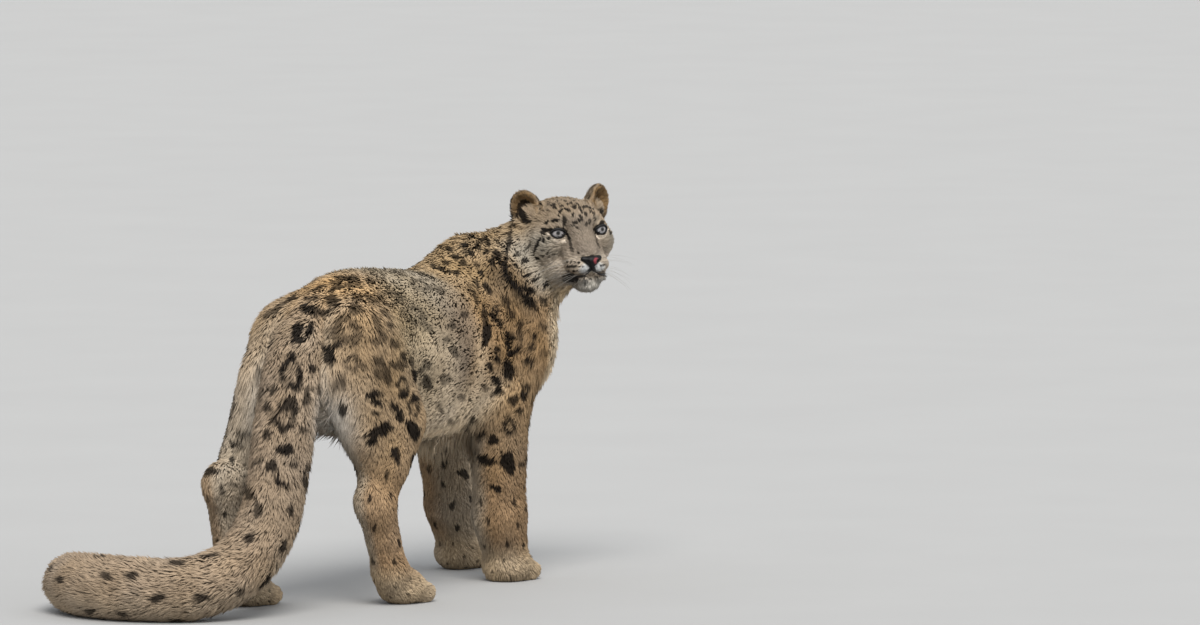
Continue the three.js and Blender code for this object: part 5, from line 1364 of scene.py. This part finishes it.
def tuftGroups():  # a name for each region of the coat, and the tufts in it
    part = shares(values).argmax(0)
    x, y, z = root.T
    groups = [("coat_neck", "core", (part == 0) & (x > 440) & (z > 430)),
              ("coat_rump", "core", (part == 0) & (x < 90)),
              ("coat_right_side", "core", (part == 0) & (y < 0)),
              ("coat_left_side", "core", part == 0),
              ("coat_face", "head", (part == 1) & (depth < 3.5)),
              ("coat_ruff", "head", part == 1)]
    groups += [(f"coat_{name}", name, part == row + 2) for row, name in enumerate(legs)]
    groups += [("coat_tail", "tail", part == 6)]
    left = np.ones(len(root), bool)
    for name, group, test in groups:
        pick = np.flatnonzero(test & left)
        left[pick] = False
        pick = pick[np.argsort(root[pick, 0])]
        count = 1 + (len(pick) - 1) // tuftSizes["mostInPiece"]
        for k, run in enumerate(np.array_split(pick, count)):
            yield (name if count == 1 else f"{name}_{k + 1}"), group, run


for seed, (name, group, pick) in enumerate(tuftGroups()):
    points, triangles, shades, normals = tuftMesh(pick, seed)
    newPiece(name, points, triangles, coatFur, colours=shades, normals=normals,
             uv=bakeMap(root[pick].astype(float), group))
    print(name + ":", len(triangles), "triangles")


# eyes and the rims of the lids

eyeLook = {"rim": 1.7, "rimAt": 17.2, "rimPaint": (9, 8, 8), "cornea": 0.05}


def inEye(points, side):  # from the eye's own axes to the head's
    placed = points @ eyeTurn.T + np.array(eyeSizes["at"])
    placed[:, 1] *= side
    return placed


def eyeMaterial():  # rings round the middle of the pupil, read from the map's first axis, in radians
    made, tree, shader = material("eyeGlass", 0.2, 0.2, Coat_Weight=0.6, Coat_Roughness=0.02)
    where = node(tree, "ShaderNodeUVMap", (-1300, 0), uv_map="eyeMap")
    parts = node(tree, "ShaderNodeSeparateXYZ", (-1100, 0))
    place = node(tree, "ShaderNodeTexCoord", (-1300, -300))
    noise = node(tree, "ShaderNodeTexNoise", (-1100, -300))
    noise.inputs["Scale"].default_value = 900
    noise.inputs["Detail"].default_value = 4
    streak = node(tree, "ShaderNodeMath", (-900, -200), operation="MULTIPLY_ADD")
    streak.inputs[1].default_value = 0.09
    rings = node(tree, "ShaderNodeValToRGB", (-650, 0))
    stops = [(0.0, (0.001, 0.001, 0.001)), (0.21, (0.002, 0.002, 0.002)), (0.25, (0.09, 0.086, 0.08)),
             (0.36, (0.29, 0.275, 0.275)), (0.60, (0.34, 0.325, 0.33)), (0.76, (0.18, 0.172, 0.165)),
             (0.88, (0.02, 0.018, 0.015)), (1.0, (0.01, 0.009, 0.008))]
    elements = rings.color_ramp.elements
    while len(elements) < len(stops):
        elements.new(0.5)
    for element, (at, rgb) in zip(elements, stops):
        element.position = at
        element.color = (*rgb, 1)
    tree.links.new(where.outputs["UV"], parts.inputs[0])
    tree.links.new(place.outputs["Object"], noise.inputs["Vector"])
    tree.links.new(noise.outputs["Fac"], streak.inputs[0])
    tree.links.new(parts.outputs[0], streak.inputs[2])
    tree.links.new(streak.outputs[0], rings.inputs["Fac"])
    tree.links.new(rings.outputs["Color"], shader.inputs["Base Color"])
    return made


def eyeBall(name, side, look):  # a ball round the eye's forward axis with a raised cornea
    rings, around = 40, 48
    theta = np.linspace(0, math.pi, rings + 1)[1:-1]
    phi = np.arange(around) * 2 * math.pi / around
    radius = eyeSizes["radius"] + eyeSizes["radius"] * eyeLook["cornea"] * ramp(0.85, 0.2, theta)
    t, f = np.meshgrid(theta, phi, indexing="ij")
    r = radius[:, None]
    ball = np.stack([r * np.cos(t), r * np.sin(t) * np.cos(f), r * np.sin(t) * np.sin(f)], 2).reshape(-1, 3)
    ends = np.array([(eyeSizes["radius"] * (1 + eyeLook["cornea"]), 0, 0), (-eyeSizes["radius"], 0, 0)])
    points = np.concatenate([ball, ends])
    i, j = np.meshgrid(np.arange(len(theta) - 1), np.arange(around), indexing="ij")
    a, b = (i * around + j).ravel(), (i * around + (j + 1) % around).ravel()
    c, d = a + around, b + around
    front, back = len(ball), len(ball) + 1
    ring = np.arange(around)
    after = (ring + 1) % around
    last = len(ball) - around
    triangles = np.concatenate([
        np.stack([a, c, d], 1), np.stack([a, d, b], 1),
        np.stack([np.full(around, front), ring, after], 1),
        np.stack([np.full(around, back), last + after, last + ring], 1)])
    if side < 0:
        triangles = triangles[:, ::-1]
    rho = np.concatenate([np.repeat(theta, around), [0, math.pi]])
    uv = np.stack([rho, np.zeros_like(rho)], 1)
    piece = newPiece(name, inEye(points, side), triangles, look, inHead=True)
    layer = piece.data.uv_layers.new(name="eyeMap")
    layer.data.foreach_set("uv", uv[triangles.ravel()].astype(np.float32).ravel())
    return piece


def sweptTube(path, radii, closed, sides=8, out=None):  # circles square to a path, joined ring by ring
    ahead = unit(np.roll(path, -1, 0) - np.roll(path, 1, 0)) if closed else unit(np.gradient(path, axis=0))
    first = unit(np.cross(ahead, np.cross(out, ahead)))
    second = np.cross(ahead, first)
    angle = np.arange(sides) * 2 * math.pi / sides
    circle = np.cos(angle)[None, :, None] * first[:, None] + np.sin(angle)[None, :, None] * second[:, None]
    points = (path[:, None] + circle * np.asarray(radii)[:, None, None]).reshape(-1, 3)
    count = len(path)
    i, j = np.meshgrid(np.arange(count if closed else count - 1), np.arange(sides), indexing="ij")
    a, b = (i * sides + j).ravel(), (i * sides + (j + 1) % sides).ravel()
    c = ((i + 1) % count * sides + j).ravel()
    d = ((i + 1) % count * sides + (j + 1) % sides).ravel()
    triangles = np.concatenate([np.stack([a, b, d], 1), np.stack([a, d, c], 1)])
    if not closed:
        fan = np.arange(1, sides - 1)
        start = np.stack([np.zeros_like(fan), fan + 1, fan], 1)
        end = np.stack([np.zeros_like(fan), fan, fan + 1], 1) + (count - 1) * sides
        triangles = np.concatenate([triangles, start, end])
    return points, triangles


def lidRim(name, side):  # a tube round the opening's two arcs, on a ball a little larger than the eye
    a = eyeSizes["halfWidth"]
    t = np.arange(56) * 2 * math.pi / 56
    b = np.where(np.sin(t) > 0, eyeSizes["above"], eyeSizes["below"])
    radius = (a * a + b * b) / (2 * b)
    y = (a + 0.5) * np.cos(t)
    z = np.sign(np.sin(t)) * (np.sqrt(np.maximum(radius ** 2 - np.minimum(y * y, a * a), 0)) - (radius - b))
    x = np.sqrt(eyeLook["rimAt"] ** 2 - y * y - z * z)
    path = np.stack([x, y, z], 1)
    thick = eyeLook["rim"] * (0.85 + 0.45 * np.maximum(np.sin(t), 0) + 0.15 * np.abs(np.cos(t)) ** 3)
    points, triangles = sweptTube(path, thick, True, out=unit(path))
    tone = np.tile(linear(eyeLook["rimPaint"]), (len(points), 1))
    triangles = triangles if side > 0 else triangles[:, ::-1]
    return newPiece(name, inEye(points, side), triangles, lidSkin, colours=tone, inHead=True)


eyeGlass = eyeMaterial()
for name, side in (("left", 1), ("right", -1)):
    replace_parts(eyeBall(f"eyeball_{name}", side, eyeGlass), f"eye_{name}")
    lidRim(f"lid_rim_{name}", side)
print("eyes made")


# nose pad, whiskers, lips and claws

noseLook = {"step": 1.0, "pink": (116, 46, 52), "dark": (9, 8, 8)}


def nosePad():  # the solids' nose field, with nostrils and a groove carved in
    x, _, z = noseAt
    nostril = ellipsoid((x + 8, 10, z), (6, 3.2, 3.4))
    slit = limb((x + 7.5, 10.5, z - 1.5), (x, 18.5, z + 1.5), 1.8, 1.4)
    groove = limb((x + 13, 0, z - 4), (x + 8, 0, z - 18), 0.8, 1.0)
    form = carve(1.5, carve(2, ownNose, blend(2, nostril, slit)), groove)
    field = lambda p: form(leftOf(p))
    lines = [np.arange(low, high, noseLook["step"], dtype=np.float32)
             for low, high in ((x - 14, x + 16), (-25, 25), (z - 22, z + 18))]
    points, triangles = surfaceNet(sampled(field, lines), lines)
    points = pulled(field, points, 0.5)
    fromPink = np.hypot((points[:, 1] - 5.5) / 6.2, (points[:, 2] - z - 1.5) / 6.2)
    edge = ramp(0.72, 1.1, fromPink + 0.12 * ripple(points, 7, 8))
    edge = np.maximum(edge, ramp(2.4, 1.0, np.abs(blend(2, nostril, slit)(leftOf(points)))))
    tone = mix(linear(noseLook["pink"]), linear(noseLook["dark"]), edge[:, None])
    return newPiece("nose_pad", points, triangles, noseSkin, colours=tone, inHead=True)


whiskerLook = {"thick": 0.2, "shortest": 52, "longest": 88, "paint": (150, 145, 137)}


def whiskers():  # thin tapered hairs that leave the pads outwards, back and a little down
    own = np.random.default_rng(31)
    points, triangles, count = [], [], 0
    for side in (-1, 1):
        for row, drop in enumerate((0, -6, -12)):
            for k in range(4):
                root = np.array([[110 - 7 * k, 20 + 4.5 * k, -38 + drop - k]], np.float32)
                root = onSurface(ownHead, root, 4)[0].astype(float)
                reach = own.uniform(whiskerLook["shortest"], whiskerLook["longest"])
                way = unit(np.array([-0.15 - 0.12 * k, 1.0, -0.10 - 0.14 * row + own.uniform(-0.1, 0.1)]))
                t = np.linspace(0, 1, 9)[:, None]
                path = root + way * reach * t + np.array([-14, 0, -16]) * t * t * reach / 70
                path[:, 1] *= side
                thick = whiskerLook["thick"] * (1 - 0.8 * t[:, 0])
                made, faces = sweptTube(path, thick, False, 4, np.array([0.0, 0, 1]))
                points.append(made)
                triangles.append(faces + count)
                count += len(made)
    points, triangles = np.concatenate(points), np.concatenate(triangles)
    tone = np.tile(linear(whiskerLook["paint"]), (len(points), 1))
    return newPiece("whiskers", points, triangles, whiskerHair, colours=tone, inHead=True)


lipLook = {"thick": 1.1, "thinner": 0.4, "paint": (9, 8, 8)}


def lips():  # bare black skin along the parted mouth and down from the nose
    half = lipPath.astype(float)
    out = unit(slopeOf(ownHead, lipPath).astype(float))
    half = half + out * mix(0.6, -1.2, ramp(0.75, 1, np.linspace(0, 1, len(half))))[:, None]
    path = np.concatenate([half[:0:-1] * [1, -1, 1], half])
    thick = lipLook["thick"] - lipLook["thinner"] * np.abs(np.linspace(-1, 1, len(path))) ** 3
    outs = np.concatenate([out[:0:-1] * [1, -1, 1], out])
    points, triangles = sweptTube(path, thick, False, 8, outs)
    x, _, z = noseAt
    drop = onSurface(ownHead, [(x + 6, 0, z - 10 - k) for k in range(0, 9, 2)]).astype(float)
    more, faces = sweptTube(drop + [0.3, 0, 0], [1.4, 1.2, 1.0, 1.0, 1.1], False, 8, np.array([1.0, 0, 0]))
    triangles = np.concatenate([triangles, faces + len(points)])
    points = np.concatenate([points, more])
    tone = np.tile(linear(lipLook["paint"]), (len(points), 1))
    return newPiece("lips", points, triangles, lidSkin, colours=tone, inHead=True)


clawLook = {"thick": 2.2, "reach": 15.0, "paint": (96, 84, 70)}


def claws():  # the tips of four on each paw, just clear of the fur
    points, triangles, count = [], [], 0
    for leg in legs.values():
        for ahead, aside in ((25, 30), (41, 11), (41, -11), (25, -30)):
            start = np.array([leg["toes"][0] + ahead + 15, leg["side"] * leg["out"] + aside, 17.0])
            t = np.linspace(0, 1, 6)[:, None]
            straight = np.array([clawLook["reach"], aside * 0.06, -3.0]) * t
            path = start + straight + np.array([0, 0, -7.0]) * t * t
            thick = clawLook["thick"] * (1 - 0.85 * t[:, 0])
            made, faces = sweptTube(path, thick, False, 7, np.array([0.0, 0, 1]))
            points.append(made)
            triangles.append(faces + count)
            count += len(made)
    points, triangles = np.concatenate(points), np.concatenate(triangles)
    tone = np.tile(linear(clawLook["paint"]), (len(points), 1))
    return newPiece("claws", points, triangles, noseSkin, colours=tone)


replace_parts(nosePad(), "nose")
claws()
whiskers()
lips()
print("nose, claws, whiskers and lips made")


# floor and light

stageLook = {
    "floor": (0.32, 0.32, 0.317), "floorReach": 60, "world": 0.92, "worldTint": (0.93, 0.96, 1.0, 1),
    "key": 3.8, "keyTint": (1.0, 0.97, 0.93), "fill": 0.6, "fillTint": (1, 1, 1),
}


def floorPiece():  # one flat face with a faint unevenness in its tone
    mesh = bpy.data.meshes.new("floor")
    far = stageLook["floorReach"]
    mesh.from_pydata([(-far, -far, 0), (far, -far, 0), (far, far, 0), (-far, far, 0)], [], [(0, 1, 2, 3)])
    made, tree, shader = material("paleFloor", 0.85, 0.2)
    noise = node(tree, "ShaderNodeTexNoise", (-600, 0))
    noise.inputs["Scale"].default_value = 3
    place = node(tree, "ShaderNodeTexCoord", (-800, 0))
    tones = node(tree, "ShaderNodeValToRGB", (-350, 0))
    base = np.array(stageLook["floor"])
    tones.color_ramp.elements[0].color = (*(base * 0.97), 1)
    tones.color_ramp.elements[1].color = (*(base * 1.03), 1)
    tree.links.new(place.outputs["Object"], noise.inputs["Vector"])
    tree.links.new(noise.outputs["Fac"], tones.inputs["Fac"])
    tree.links.new(tones.outputs["Color"], shader.inputs["Base Color"])
    mesh.materials.append(made)
    piece = bpy.data.objects.new("floor", mesh)
    bpy.context.scene.collection.objects.link(piece)


def softLight(name, place, angle, power, colour):  # a sun; its place gives only its direction
    lamp = bpy.data.lights.new(name, "SUN")
    lamp.angle = math.radians(angle)
    lamp.energy = power
    lamp.color = colour
    made = bpy.data.objects.new(name, lamp)
    made.location = place
    x, y, z = place
    made.rotation_euler = (math.atan2(math.hypot(x, y), z), 0, math.atan2(x, -y))
    bpy.context.scene.collection.objects.link(made)


floorPiece()
softLight("key", (-2.2, -1.6, 3.4), 34, stageLook["key"], stageLook["keyTint"])
softLight("fill", (1.2, -3.2, 1.6), 60, stageLook["fill"], stageLook["fillTint"])
bpy.context.scene.view_settings.view_transform = "Standard"
world = bpy.data.worlds.new("studio")
world.use_nodes = True
world.node_tree.nodes["Background"].inputs["Color"].default_value = stageLook["worldTint"]
world.node_tree.nodes["Background"].inputs["Strength"].default_value = stageLook["world"]
bpy.context.scene.world = world
